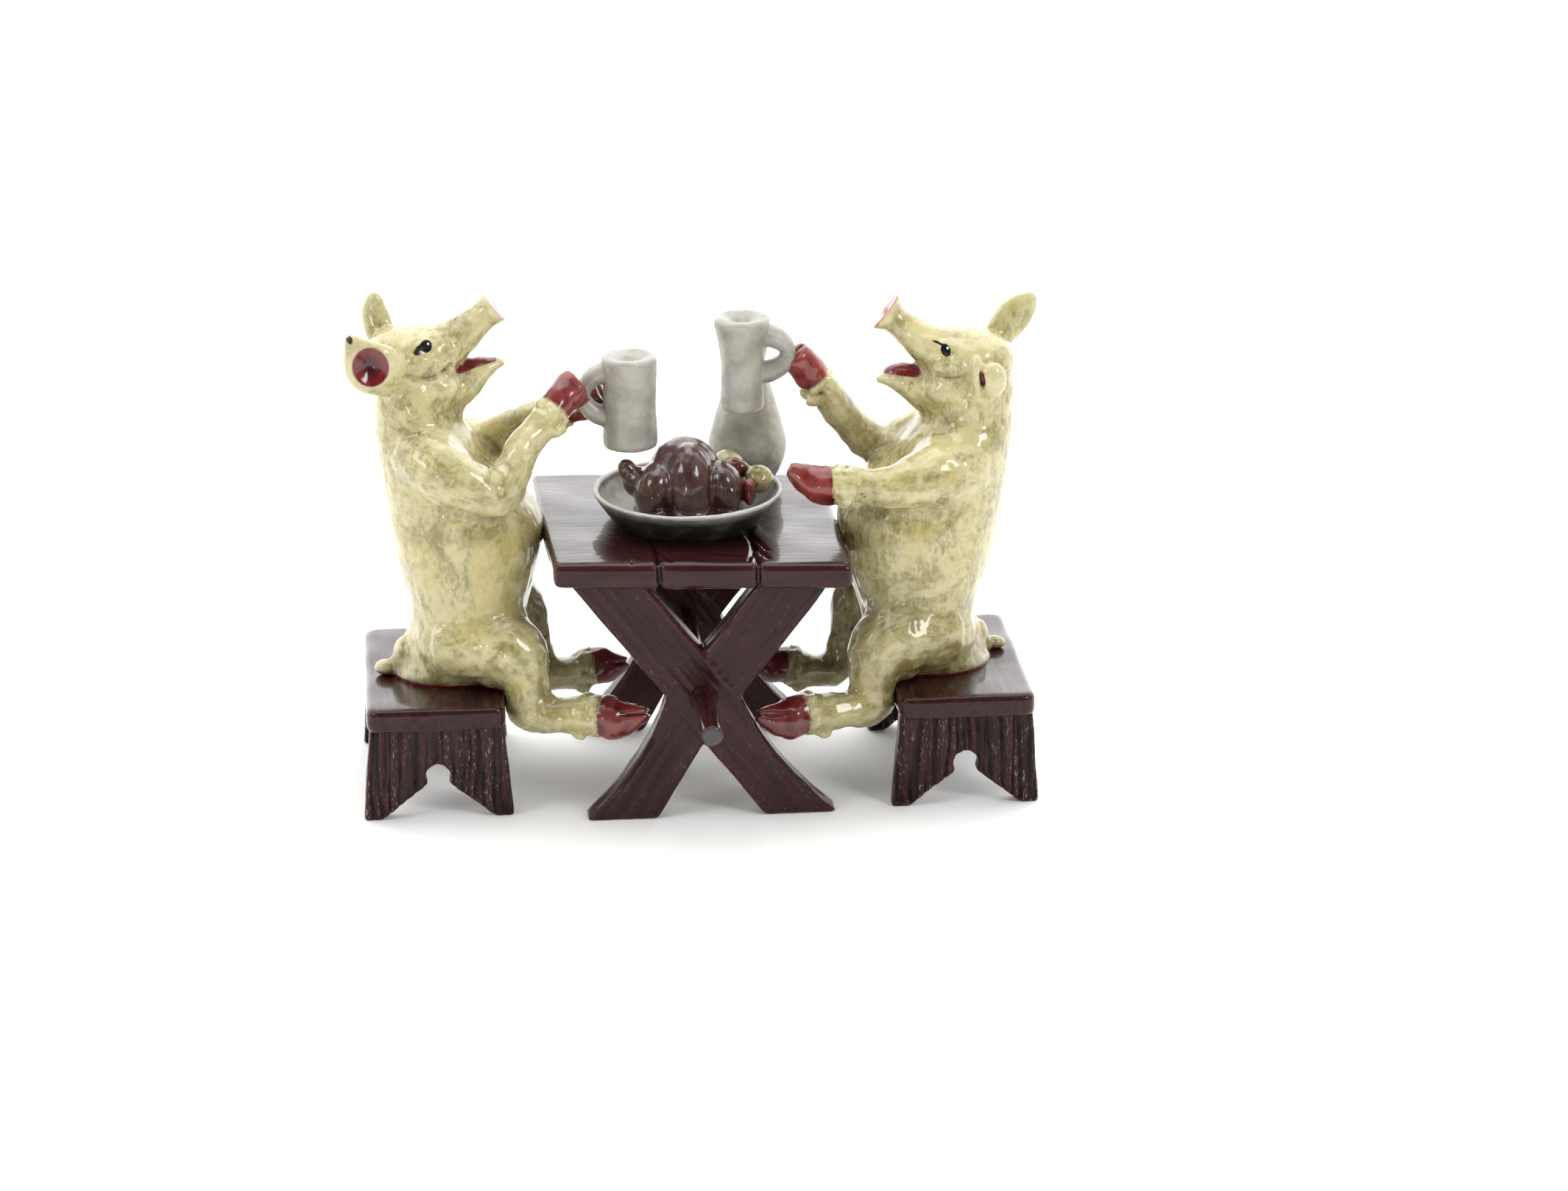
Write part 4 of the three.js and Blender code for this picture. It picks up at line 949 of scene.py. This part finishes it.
leftPig = {
    "name": "leftPig", "node": "left_pig_", "seat": "left_bench_seat", "facing": 1,
    # the next line also sets how much darker towards the bottom this pig is painted
    "headDrop": 0, "headTurn": 0, "flare": 0, "seed": 101, "grime": 0.42,
    "disc": ((9.6, 0, 50.3), (0.79, 0, 0.61)),
    "trunk": [
        (2.6, 0, -1.6, 7.8, 7.4), (2.6, 0, 0.4, 8.4, 8.2), (3.8, 0, 3, 7.8, 9.2), (4.9, 0, 9, 7.9, 10.1),
        (5, 0, 14.5, 9.2, 10.7), (5, 0, 20.2, 10.2, 10.8), (4.2, 0, 23.2, 9.8, 10.5), (2.7, 0, 26.3, 8.8, 10),
        (1.2, 0, 28.9, 7.6, 9.4), (0.1, 0, 31.6, 6.8, 8.6), (-0.8, 0, 34.2, 6, 7), (-1.3, 0, 36.2, 3.4, 4.2),
        (-1.5, 0, 36.8, 1, 1.4),
    ],
    "neck": [
        (-1, 0, 31, 5.2, 6.4), (-1, 0, 35.4, 5.8, 6.6), (-1.5, 0, 39, 5.2, 6.2), (-1.8, 0, 43, 3.6, 4.4),
    ],
    "jaw": [
        (-1.5, 0, 38.4, 3.6, 5), (1.8, 0, 38.8, 3.7, 4.6), (4.6, 0, 39.6, 2.75, 3.6), (7, 0, 41.3, 1.9, 2.5),
        (9, 0, 42.3, 1, 1.6), (10.5, 0, 42.6, 0.4, 0.8),
    ],
    "nearArm": [
        (-2.4, 2.6, 31, 3), (-0.8, 5.4, 31.4, 4.1), (1.8, 8, 30.2, 4.1), (5.6, 9.5, 28.2, 3.2),
        (9.4, 9, 27.5, 2.8), (12.2, 7.4, 32.6, 2.25), (15.4, 5.2, 35.8, 2.05), (17.9, 3.3, 38.3, 2.45, 2.2),
        (20, 2, 39.7, 2.6, 1.9),
    ],
    "farArm": [
        (0.5, -5, 30, 3.6), (3.2, -7.8, 29.4, 3.6), (7.6, -8.4, 28.9, 3.2), (13.45, -6.3, 32.4, 2.3),
        (17.25, -5.6, 33.8, 2.1), (20.45, -4.9, 35.1, 2.5), (23.4, -4, 36.6, 1.6),
    ],
    "nearEar": [
        (-3, 4, 41, 2.2, 1), (-5, 6, 42.8, 3.3, 1.5), (-7.4, 6.9, 45, 3.5, 1.5), (-9.8, 6.6, 48.6, 0.6, 0.6),
    ],
    "farEar": [
        (-4.6, -3.4, 43.6, 1.9, 0.9), (-5.8, -4.4, 46.4, 2, 1), (-6.3, -4.8, 48.6, 1.75, 0.95),
        (-6.3, -4.9, 50.3, 1.15, 0.8), (-6.3, -4.9, 51.2, 0.4, 0.4),
    ],
    "lobes": {"tail": [((-3.6, 1.6, 2.5), (1.9, 2.2, 2.8)), ((-6.2, 1.9, 1), (1.8, 1.3, 1.1))]},
    "cups": [  # ear linings: middle, half sizes and slope in the side view, depth, side
        ((-7, 44.6), (2.7, 2.4), 100, 1.7, 1), ((-6, 48.4), (2.2, 1.2), 100, 0.5, -1),
    ],
    "tongue": [(4, 0, 41.5, 0.9, 2), (7, 0, 42.55, 0.8, 1.6), (9.2, 0, 42.7, 0.4, 0.9)],
    "mouth": ((4, 42.4), (10.5, 45.6)),
    "creases": [  # lines in the side view, depth, width, least distance from the middle, side (0 is both)
        ([(6.3, 41), (5.9, 39.6), (5.4, 38.2), (4.8, 36.9), (4.2, 35.7)], 0.25, 0.6, 2, 0),
        ([(-2.4, 42.7), (-1.2, 42.4), (0, 42.2), (1.2, 42.3), (2.2, 42.7), (3.2, 43.6)], 0.32, 0.42, 3, 0),
        ([(-1.9, 41.8), (-0.8, 41.6), (0.4, 41.6), (1.8, 41.9)], -0.22, 0.45, 3, 0),
        ([(2.9, 45.6), (3.1, 44.8), (3.5, 43.9), (4.1, 43)], 0.22, 0.36, 2, 0),
        ([(5.1, 48.5), (4.6, 47.4), (4.1, 46.2)], 0.15, 0.32, 2, 0),
        ([(3.2, 47.8), (2.9, 46.9), (2.8, 46)], 0.13, 0.3, 2, 0),
        ([(1.1, 47.5), (2.2, 47.7), (3.4, 47.8), (5, 48.2)], -0.2, 0.4, 2, 0),
        ([(6.4, 45), (7.6, 46), (8.8, 47.4), (9.8, 48.6)], -0.2, 0.4, 1, 0),
        ([(-1.6, 45.6), (-1, 46.6), (-0.2, 47.1), (0.6, 47.2), (1.4, 46.8)], 0.14, 0.22, 3, 0),
        ([(-1.8, 35.8), (0.6, 34.6), (2.7, 33.2), (4.8, 31.7), (7, 30.4)], -0.4, 0.8, 5, 1),
        ([(-2.4, 28), (-0.6, 26.4), (1.6, 25.6), (4.2, 25.1), (6.8, 24.9)], 0.22, 0.9, 6, 1),
    ],
    "eyes": [  # middle, half sizes, slope, tint; the third is a white dot painted as the eye's glint, the last is a spot at the tip of the ear
        ((-0.5, 45.95), (1.05, 0.5), 32, (0.02, 0.014, 0.008)),
        ((0.2, 46.2), (0.8, 0.78), 35, (0.004, 0.003, 0.003)),
        # a white dot painted as the eye's glint
        ((0.5, 46.5), (0.15, 0.15), 0, (0.7, 0.7, 0.66)),
        ((-9.6, 48.2), (0.4, 0.55), 20, (0.05, 0.04, 0.025)),
    ],
    "snout": (0.75, 0.42, 0.42),
}
rightPig = {
    "name": "rightPig", "node": "right_pig_", "seat": "right_bench_seat", "facing": -1,
    # the next line also sets how much darker towards the bottom this pig is painted
    "headDrop": 1.8, "headTurn": 0.012, "flare": 0.5, "seed": 151, "grime": 0.9,
    "disc": ((9.6, -0.7, 50.3), (0.78, -0.14, 0.61)),
    "trunk": [
        (3, 0, -1.6, 7.8, 7.4), (3, 0, 0.4, 8.2, 8.2), (4.2, 0, 3, 7.7, 9.2), (5, 0, 9, 8.2, 10.1),
        (5.1, 0, 14.5, 9.9, 10.7), (4.9, 0, 20.2, 10.9, 10.8), (4.1, 0, 23.2, 10.6, 10.5),
        (2.5, 0, 26.3, 9.4, 10), (0.8, 0, 28.9, 8, 9.4), (-0.4, 0, 31.6, 7, 8.6), (-1.6, 0, 34.2, 6, 7),
        (-1.9, 0, 36.2, 3.4, 4.2), (-2, 0, 36.8, 1, 1.4),
    ],
    "neck": [
        (-1.6, 0, 31, 5.2, 6.4), (-1.9, 0, 35, 5.8, 6.6), (-2, 0, 38.6, 5.7, 6.2), (-2.2, 0, 41.6, 4.6, 4.6),
    ],
    "jaw": [
        (-1.5, 0, 38.4, 3.6, 5), (1.8, 0, 38.9, 3.8, 4.6), (4.6, 0, 40, 3, 3.6), (7, 0, 40.9, 2, 2.5),
        (9, 0, 41.3, 1.15, 1.7), (10.7, 0, 41.1, 0.4, 0.8),
    ],
    "nearArm": [
        (-2.8, 1.6, 29, 3.4), (-0.4, 4.8, 28.9, 4.7), (3, 7.4, 28.3, 4.6), (6.6, 9.1, 27.7, 3.6),
        (10.5, 9.8, 27.5, 2.7), (15.2, 9.3, 28, 2.3), (19, 8.7, 27.9, 2.6), (23.2, 8.2, 30, 1),
    ],
    "farArm": [
        (0.2, -5, 29.6, 3.6), (3.6, -7.8, 29, 3.4), (9.2, -8.4, 27.4, 2.8), (13.8, -7.2, 31.8, 2.4),
        (16.95, -6.6, 36.1, 2.2), (19.2, -6, 39.3, 2.4), (21.1, -5.2, 41.6, 1.9),
    ],
    "nearEar": [(-3, 3.4, 41, 1.4, 1.4), (-3.4, 5, 41, 1.6, 1.6), (-3.6, 6.4, 40.9, 1.2, 1.2)],
    "farEar": [
        (-4.4, -3.6, 41.6, 1.7, 0.9), (-6.6, -5, 43.8, 2.2, 1), (-8.5, -5.4, 46, 2.45, 1),
        (-10.3, -5.6, 47.8, 1.7, 0.9), (-11.3, -5.6, 48.7, 0.6, 0.5),
    ],
    "lobes": {
        "tail": [((-3.2, -0.6, 2.4), (1.9, 2.2, 2.6)), ((-5.7, -1.7, 0.9), (1.9, 1.2, 1))],
        "near_ear": [((-4, 6.4, 40.7), (1.85, 1.4, 2.5)), ((-1.9, 6.1, 41.2), (0.8, 1.1, 3))],
    },
    "cups": [((-2.4, 40.9), (1.4, 0.32), 86, 0.7, 1), ((-8.8, 46.2), (2.6, 1.3), 138, 0.5, -1)],
    "tongue": [
        (4, 0, 39.6, 1.1, 2.2), (6.5, 0, 40.4, 1, 2), (8.3, 0, 40.6, 0.7, 1.4), (9.5, 0, 40.5, 0.3, 0.6),
    ],
    "mouth": ((5.4, 40.4), (11.2, 43.2)),
    "creases": [
        ([(6.4, 39.2), (5.8, 37.8), (5, 36.4), (4, 35)], 0.22, 0.6, 2, 0),
        ([(-0.4, 41.2), (0.8, 40.8), (2, 40.7), (3.2, 41.1), (4.2, 41.8)], 0.28, 0.42, 3, 0),
        ([(0, 40.2), (1.4, 39.9), (2.8, 40.2)], -0.2, 0.45, 3, 0),
        ([(4.4, 44.2), (4.7, 43.2), (5.1, 42.2), (5.6, 41.3)], 0.2, 0.36, 2, 0),
        ([(6.8, 46.4), (6.3, 45.3), (5.9, 44.4)], 0.13, 0.3, 2, 0),
        ([(3.4, 45.4), (5, 45.6), (6.6, 46.2), (8.2, 47.4)], -0.22, 0.5, 2, 0),
        ([(6.2, 41.4), (8, 43.2), (10.4, 45.6)], -0.15, 0.4, 1, 0),
        ([(3.6, 45.4), (2.6, 45.2), (1.6, 44.9), (1, 44)], 0.14, 0.22, 3, 0),
        ([(2.8, 43.2), (2.2, 42.8), (1.4, 42.5), (0.2, 42.7)], 0.15, 0.35, 3, 0),
        ([(8.6, 24), (6.4, 23), (4.2, 22.4), (2.4, 22.8), (0.6, 24)], 0.2, 0.9, 6, 1),
        ([(4.2, 34), (6, 32.6), (7.8, 31.4)], -0.3, 0.9, 5, 1),
    ],
    "eyes": [
        ((2.85, 45.1), (0.9, 0.15), 20, (0.006, 0.005, 0.004)),
        ((2.0, 44.25), (0.62, 0.82), -20, (0.003, 0.003, 0.003)),
        # a white dot painted as the eye's glint
        ((1.75, 44.55), (0.15, 0.15), 0, (0.8, 0.8, 0.78)),
    ],
    "snout": (0.3, 0.035, 0.03),
}


def seatOf(pig):
    lo, hi = boxOf(pig["seat"])
    return Vector(((lo.x + hi.x) / 2, (lo.y + hi.y) / 2, hi.z))


def fromPig(pig, rows, drop=0):  # from the pig's own places to the object's
    rows = np.array([row if len(row) == 5 else (*row, row[3]) for row in rows], float)
    seat = seatOf(pig)
    rows[:, 0] = seat.x + pig["facing"] * rows[:, 0]
    rows[:, 1] = seat.y - rows[:, 1]
    rows[:, 2] += seat.z - drop
    return rows


def addPads(pig, bm, pads, drop):
    for (ahead, aside, up), (long, wide, tall) in pads:
        for hand in (-1, 1):
            at = fromPig(pig, [(ahead, hand * aside, up, 1)], drop)[0]
            oval(bm, at[:3], (long, wide, tall))


def addClaws(bm, rows):  # two dewclaws behind the trotter
    wrist, tip = Vector(rows[0, :3]), Vector(rows[-1, :3])
    ahead = (tip - wrist).normalized()
    across = (Vector((0, 1, 0)) - ahead * ahead.y).normalized()
    under = ahead.cross(across)
    under = under if under.z < 0 else -under
    girth = rows[0, 3]
    for hand in (-1, 1):
        root = wrist + under * girth * 0.8 + across * hand * girth * 0.5 - ahead * 0.6
        end = root + under * 0.5 + ahead * 1.7
        path = [(*root.lerp(end, s), r, r) for s, r in ((0, 0.7), (0.5, 0.9), (0.9, 0.75), (1, 0.35))]
        loft(bm, np.array(path), 12)


def pigShells(pig):
    groups = {}
    drop = pig["headDrop"]
    bm = groups["body"] = bmesh.new()
    loft(bm, spline(fromPig(pig, pig["trunk"]), 4), 36, True)
    loft(bm, spline(fromPig(pig, pig["neck"]), 4), 28, True)
    head = [(f, t - pig["headTurn"] * max(f - 2, 0) ** 2, *rest) for f, t, *rest in pigShape["head"]]
    head[-1] = (*head[-1][:3], head[-1][3] + pig["flare"], head[-1][4])
    for stations in (head, pig["jaw"]):
        loft(bm, spline(fromPig(pig, stations, drop), 4), 28)
    addPads(pig, bm, pigShape["headPads"], drop)
    addPads(pig, bm, pigShape["bodyPads"], 0)
    bm = groups["tongue"] = bmesh.new()
    loft(bm, spline(fromPig(pig, pig["tongue"]), 4), 16)
    limbs = {
        "near_arm": (pig["nearArm"], pigShape["armSteps"]),
        "far_arm": (pig["farArm"], pigShape["armSteps"]),
        "near_leg": (pigShape["nearLeg"], pigShape["legSteps"]),
        "far_leg": (pigShape["farLeg"], pigShape["legSteps"]),
    }
    paths = {}
    for node, (stations, (claws, red)) in limbs.items():
        bm = groups[node] = bmesh.new()
        rows = spline(fromPig(pig, stations), 8)
        paths[node] = rows, red
        loft(bm, rows, 22)
        addClaws(bm, rows[-claws:])
    for node, stations in (("near_ear", pig["nearEar"]), ("far_ear", pig["farEar"]), ("tail", [])):
        bm = groups[node] = bmesh.new()
        if stations:
            loft(bm, spline(fromPig(pig, stations), 6), 22)
        for at, half in pig["lobes"].get(node, []):
            oval(bm, fromPig(pig, [(*at, 1)])[0, :3], half)
    return groups, paths


def sideView(pig, spot):  # forward, towards the viewer, up
    seat = np.array(seatOf(pig))
    away = spot - seat
    return np.stack((away[:, 0] * pig["facing"], -away[:, 1], away[:, 2]), 1)


def fromLine(flat, line):
    best = np.full(len(flat), 1e9)
    for first, last in zip(np.array(line)[:-1], np.array(line)[1:]):
        run = last - first
        share = np.clip(((flat - first) @ run) / (run @ run), 0, 1)
        best = np.minimum(best, np.linalg.norm(flat - first - share[:, None] * run, axis=1))
    return best


def inOval(flat, middle, half, slope):
    turn = math.radians(slope)
    away = flat - np.array(middle)
    along = away[:, 0] * math.cos(turn) + away[:, 1] * math.sin(turn)
    across = away[:, 1] * math.cos(turn) - away[:, 0] * math.sin(turn)
    return np.hypot(along / half[0], across / half[1])


def distances(tree, spot):
    return np.array([tree.find_nearest(p)[3] for p in spot])


def recesses(piece, blockers, reach):  # how much of the sky close by is covered
    rays = [Vector((math.sin(k * 2.4) * 0.9, math.cos(k * 2.4) * 0.9, 0.9 - 0.22 * k)) for k in range(9)]
    shade = []
    for p, n in zip(points(piece), facing(piece)):
        normal = Vector(n)
        start = Vector(p) + normal * 0.35
        total = 0
        for ray in rays:
            hit = blockers.ray_cast(start, (normal + ray * 0.85).normalized(), reach)[3]
            total += 0 if hit is None else 1 - hit / reach
        shade.append(total / len(rays))
    return np.array(shade)


def oneIslandEach(rings, labels):  # stray patches go to the casting round them
    owner, beside = {}, [[] for ring in rings]
    for index, ring in enumerate(rings):
        for pair in zip(ring, ring[1:] + ring[:1]):
            key = (min(pair), max(pair))
            if key in owner:
                beside[index].append(owner[key])
                beside[owner[key]].append(index)
            else:
                owner[key] = index
    for attempt in range(3):
        seen, islands = [False] * len(rings), []
        for start in range(len(rings)):
            if seen[start]:
                continue
            seen[start] = True
            island = [start]
            for index in island:
                for other in beside[index]:
                    if not seen[other] and labels[other] == labels[start]:
                        seen[other] = True
                        island.append(other)
            islands.append(island)
        largest = {}
        for island in islands:
            label = labels[island[0]]
            if len(island) > len(largest.get(label, ())):
                largest[label] = island
        strays = [island for island in islands if island is not largest[labels[island[0]]]]
        for island in strays:
            around = [labels[o] for index in island for o in beside[index] if labels[o] != labels[index]]
            if around:
                change = max(set(around), key=around.count)
                for index in island:
                    labels[index] = change
        if not strays:
            break
    return labels


def castPig(pig):
    groups, paths = pigShells(pig)
    whole, nearest = bmesh.new(), {}
    for node, bm in groups.items():
        bmesh.ops.recalc_face_normals(bm, faces=bm.faces[:])
        nearest[node] = BVHTree.FromBMesh(bm)
        mesh = bpy.data.meshes.new(node)
        bm.to_mesh(mesh)
        whole.from_mesh(mesh)
        bm.free()
    walls = whole.copy()
    for node in ("table_top", pig["seat"]):
        block(walls, *boxOf(node))
    blockers = BVHTree.FromBMesh(walls)
    walls.free()
    piece = cast(toObject(whole, pig["name"]), pigShape["voxel"], pigShape["soften"])

    # soft folds, apart from the mouth and round the near ear
    corner, lip = (np.array(p) for p in pig["mouth"])
    run = (lip - corner) / np.linalg.norm(lip - corner)
    over = np.array((-run[1], run[0]))
    spot = points(piece)
    flat = sideView(pig, spot)[:, (0, 2)] - corner
    atMouth = np.clip(flat @ run + 1, 0, 1) * (np.abs(flat @ over) < pigShape["foldHeight"])
    hold = 1 - pigShape["foldHold"] * atMouth
    hold *= np.clip(distances(nearest["near_ear"], spot) / pigShape["earReach"], 0.1, 1)
    easeFolds(piece, hold, pigShape["foldRounds"])

    # which casting each point belongs to
    spot = points(piece)
    toTongue = distances(nearest["tongue"], spot)
    nodes = [node for node in groups if node != "tongue"]
    gap = smoothed(piece, np.stack([distances(nearest[node], spot) for node in nodes], 1), 4)
    belongs = gap.argmin(1)

    # folds, ridges, ear cups and nostrils
    local = sideView(pig, spot)
    flat, aside, high = local[:, (0, 2)], local[:, 1], local[:, 2]
    seed = pig["seed"]
    amount = ripples(spot, pigShape["ripples"], seed)
    for line, depth, width, least, hand in pig["creases"]:
        gate = np.clip(np.abs(aside) - least, 0, 1)
        if hand:
            gate *= aside * hand > 0
        amount -= depth * gate * np.exp(-(fromLine(flat, line) / width) ** 2)
    middle, half, slope = pig["eyes"][1][:3]
    lid = np.clip(pigShape["lidReach"] - inOval(flat, middle, half, slope), 0, 1) * (np.abs(aside) > 2)
    amount += pigShape["lid"] * lid * np.clip(high - middle[1], -1, 1)
    lining = np.full(len(spot), -1.0)
    outward = -facing(piece)[:, 1]
    for middle, half, slope, depth, hand in pig["cups"]:
        ear = belongs == nodes.index("near_ear" if hand > 0 else "far_ear")
        inside = 1 - inOval(flat, middle, half, slope)
        bowl = ear & (outward * hand > 0.1)
        amount -= np.where(bowl, depth * np.clip(1 - (1 - inside) ** 2, 0, 1), 0)
        lining = np.where(bowl, np.maximum(lining, inside * half[1]), lining)
    inMouth = (belongs == 0) & ((flat - corner) @ run > -1) & (np.abs(aside) < pigShape["gapeWidth"])
    inMouth &= np.abs((flat - corner) @ over) < pigShape["gapeHeight"]
    lining = np.where(inMouth, np.maximum(lining, pigShape["tongueReach"] - toTongue), lining)
    at, ahead = (np.array(p) for p in pig["disc"])
    onDisc = (local - at - np.array((0, 0, -pig["headDrop"]))) @ ahead
    snout = np.where((belongs == 0) & (high > pigShape["discAbove"]), onDisc + pigShape["discEdge"], -1)
    for hand in (-1, 1):
        up = at[2] - pig["headDrop"] + pigShape["nostrilUp"]
        nostril = np.array((at[0], at[1] + hand * pigShape["nostrilApart"], up))
        away = np.linalg.norm(local - nostril, axis=1)
        amount -= pigShape["nostrilDepth"] * np.exp(-(away / pigShape["nostrilWidth"]) ** 2)

    # trotters: where the red starts, the ruffle above it, and the cleft
    hoof = np.full(len(spot), -9.0)
    brush = spot.copy()
    for node, (path, red) in paths.items():
        mine = np.nonzero(belongs == nodes.index(node))[0]
        own, middles = spot[mine], path[:, :3]
        steps = np.linalg.norm(np.diff(middles, axis=0), axis=1)
        length = np.concatenate(((0,), np.cumsum(steps)))
        closest = np.linalg.norm(own[:, None] - middles[None], axis=2).argmin(1)
        along = length[closest]
        hoof[mine] = along - length[-red]
        tangent = np.gradient(middles, axis=0)
        above = np.cross(tangent, (0, 1, 0)) / np.linalg.norm(tangent, axis=1)[:, None]
        offset = own - middles[closest]
        brush[mine] = np.stack((offset[:, 1], (offset * above[closest]).sum(1), along), 1)
        ahead = Vector(middles[-1] - middles[-red]).normalized()
        split = ahead.cross(toCamera).normalized()
        if "arm" in node:
            split = split.cross(ahead)
        across = (own - middles[-1]) @ np.array(split)
        ruffle = np.exp(-((hoof[mine] + 1) / pigShape["ruffleWidth"]) ** 2) * (hoof[mine] < 0)
        amount[mine] += ruffle * (pigShape["ruffle"] + ripples(own, pigShape["ruffleRipples"], seed))
        amount[mine] += ripples(own, pigShape["limbRipples"], seed)
        tip = np.clip((along - length[-pigShape["cleftSteps"]]) / pigShape["cleftFade"], 0, 1)
        amount[mine] -= pigShape["cleftDepth"] * tip * np.exp(-(across / pigShape["cleftWidth"]) ** 2)
    push(piece, amount)

    # what the paint follows
    # how much of the sky close by is covered, for the painted shade
    covered = recesses(piece, blockers, pigShape["recess"])
    keepRelief(piece, pigShape["reliefRounds"])
    # darker towards the bottom, then painted shade under the table edge at the belly and on the far side low
    # down
    grime = pig["grime"] * np.clip((pigShape["darkeningTop"] - high) / pigShape["darkeningFade"], 0, 1)
    bellyX, bellyZ = pigShape["bellyAt"]
    fromBelly = np.hypot(flat[:, 0] - bellyX, high - bellyZ) / pigShape["bellyReach"]
    grime += pigShape["bellyShade"] * np.exp(-fromBelly ** 2)
    grime += pigShape["farShade"] * np.clip(-aside / pigShape["farFade"], 0, 1) * (high < pigShape["farTop"])
    # painted shade where the sky close by is covered, with the darkening towards the bottom
    keep(piece, "wash", np.clip((covered - pigShape["recessFrom"]) * pigShape["recessGain"] + grime, 0, 1))
    forward, halfLine = pigShape["footprint"]
    keep(piece, "lining", np.maximum(lining, np.where(flat[:, 0] < forward, halfLine - np.abs(high), -1)))
    keep(piece, "snout", snout)
    keep(piece, "hoof", hoof)
    keep(piece, "brush", brush)
    keep(piece, "skin", facing(piece))

    # one closed piece for each casting
    corners = np.empty(len(piece.data.loops), dtype=np.int32)
    piece.data.loops.foreach_get("vertex_index", corners)
    rings = corners.reshape(-1, 4)
    labels = oneIslandEach(rings.tolist(), gap[rings].mean(1).argmin(1).tolist())
    seat = seatOf(pig)
    eyes = []
    for (ahead, up), (long, tall), slope, tint in pig["eyes"]:
        at = (seat.x + pig["facing"] * ahead, seat.y, seat.z + up)
        through = pigShape["eyeThrough"]
        eyes.append((at, -pig["facing"] * math.radians(slope), (long, through, tall), tint))
    material = pigPaint(pig["name"] + "Paint", eyes, pig["snout"])
    for k, node in enumerate(nodes):
        bm = bmesh.new()
        bm.from_mesh(piece.data)
        others = [face for face, label in zip(bm.faces, labels) if label != k]
        bm.normal_update()
        bmesh.ops.delete(bm, geom=others, context="FACES")
        rim = [e for e in bm.edges if e.is_boundary]
        sunk = {tuple(v.co): v.co - v.normal * pigShape["seam"] for e in rim for v in e.verts}
        for grown in bmesh.ops.extrude_edge_only(bm, edges=rim)["geom"]:
            if isinstance(grown, bmesh.types.BMVert):
                grown.co = sunk[tuple(grown.co)]
        for cap in bmesh.ops.holes_fill(bm, edges=[e for e in bm.edges if e.is_boundary], sides=0)["faces"]:
            inward = -sum((v.normal for v in cap.verts), Vector()).normalized()
            deep = cap.calc_center_median() + inward * 0.5 * math.sqrt(cap.calc_area() / math.pi)
            bmesh.ops.poke(bm, faces=[cap])["verts"][0].co = deep
        gaps = sum(1 for e in bm.edges if len(e.link_faces) != 2)
        part = toObject(bm, pig["name"] + "".join(word.capitalize() for word in node.split("_")))
        print(part.name, len(part.data.polygons), "faces,", gaps, "open edges")
        settle(part, material, "pig_paint", pig["node"] + node)
        skin = np.empty(len(part.data.vertices) * 3, dtype=np.float32)
        part.data.attributes["skin"].data.foreach_get("vector", skin)
        part.data.normals_split_custom_set_from_vertices(skin.reshape(-1, 3).tolist())
    bpy.data.objects.remove(piece)


castPig(leftPig)
castPig(rightPig)
print("pigs built")

# floor
bm = bmesh.new()
bmesh.ops.create_grid(bm, x_segments=2, y_segments=2, size=studio["floorSize"])
floor = toObject(bm, "floor")
material, tree, shader, place = paint("floorPaper", 0)
shade = tuple(studio["floorShade"] * c for c in studio["floor"])
sheet = layer(tree, ramp(tree, mottle(tree, place, 40), 0.3, 0.7), studio["floor"], shade)
tree.links.new(sheet, shader.inputs["Base Color"])
shader.inputs["Roughness"].default_value = studio["floorRoughness"]
floor.data.materials.append(material)
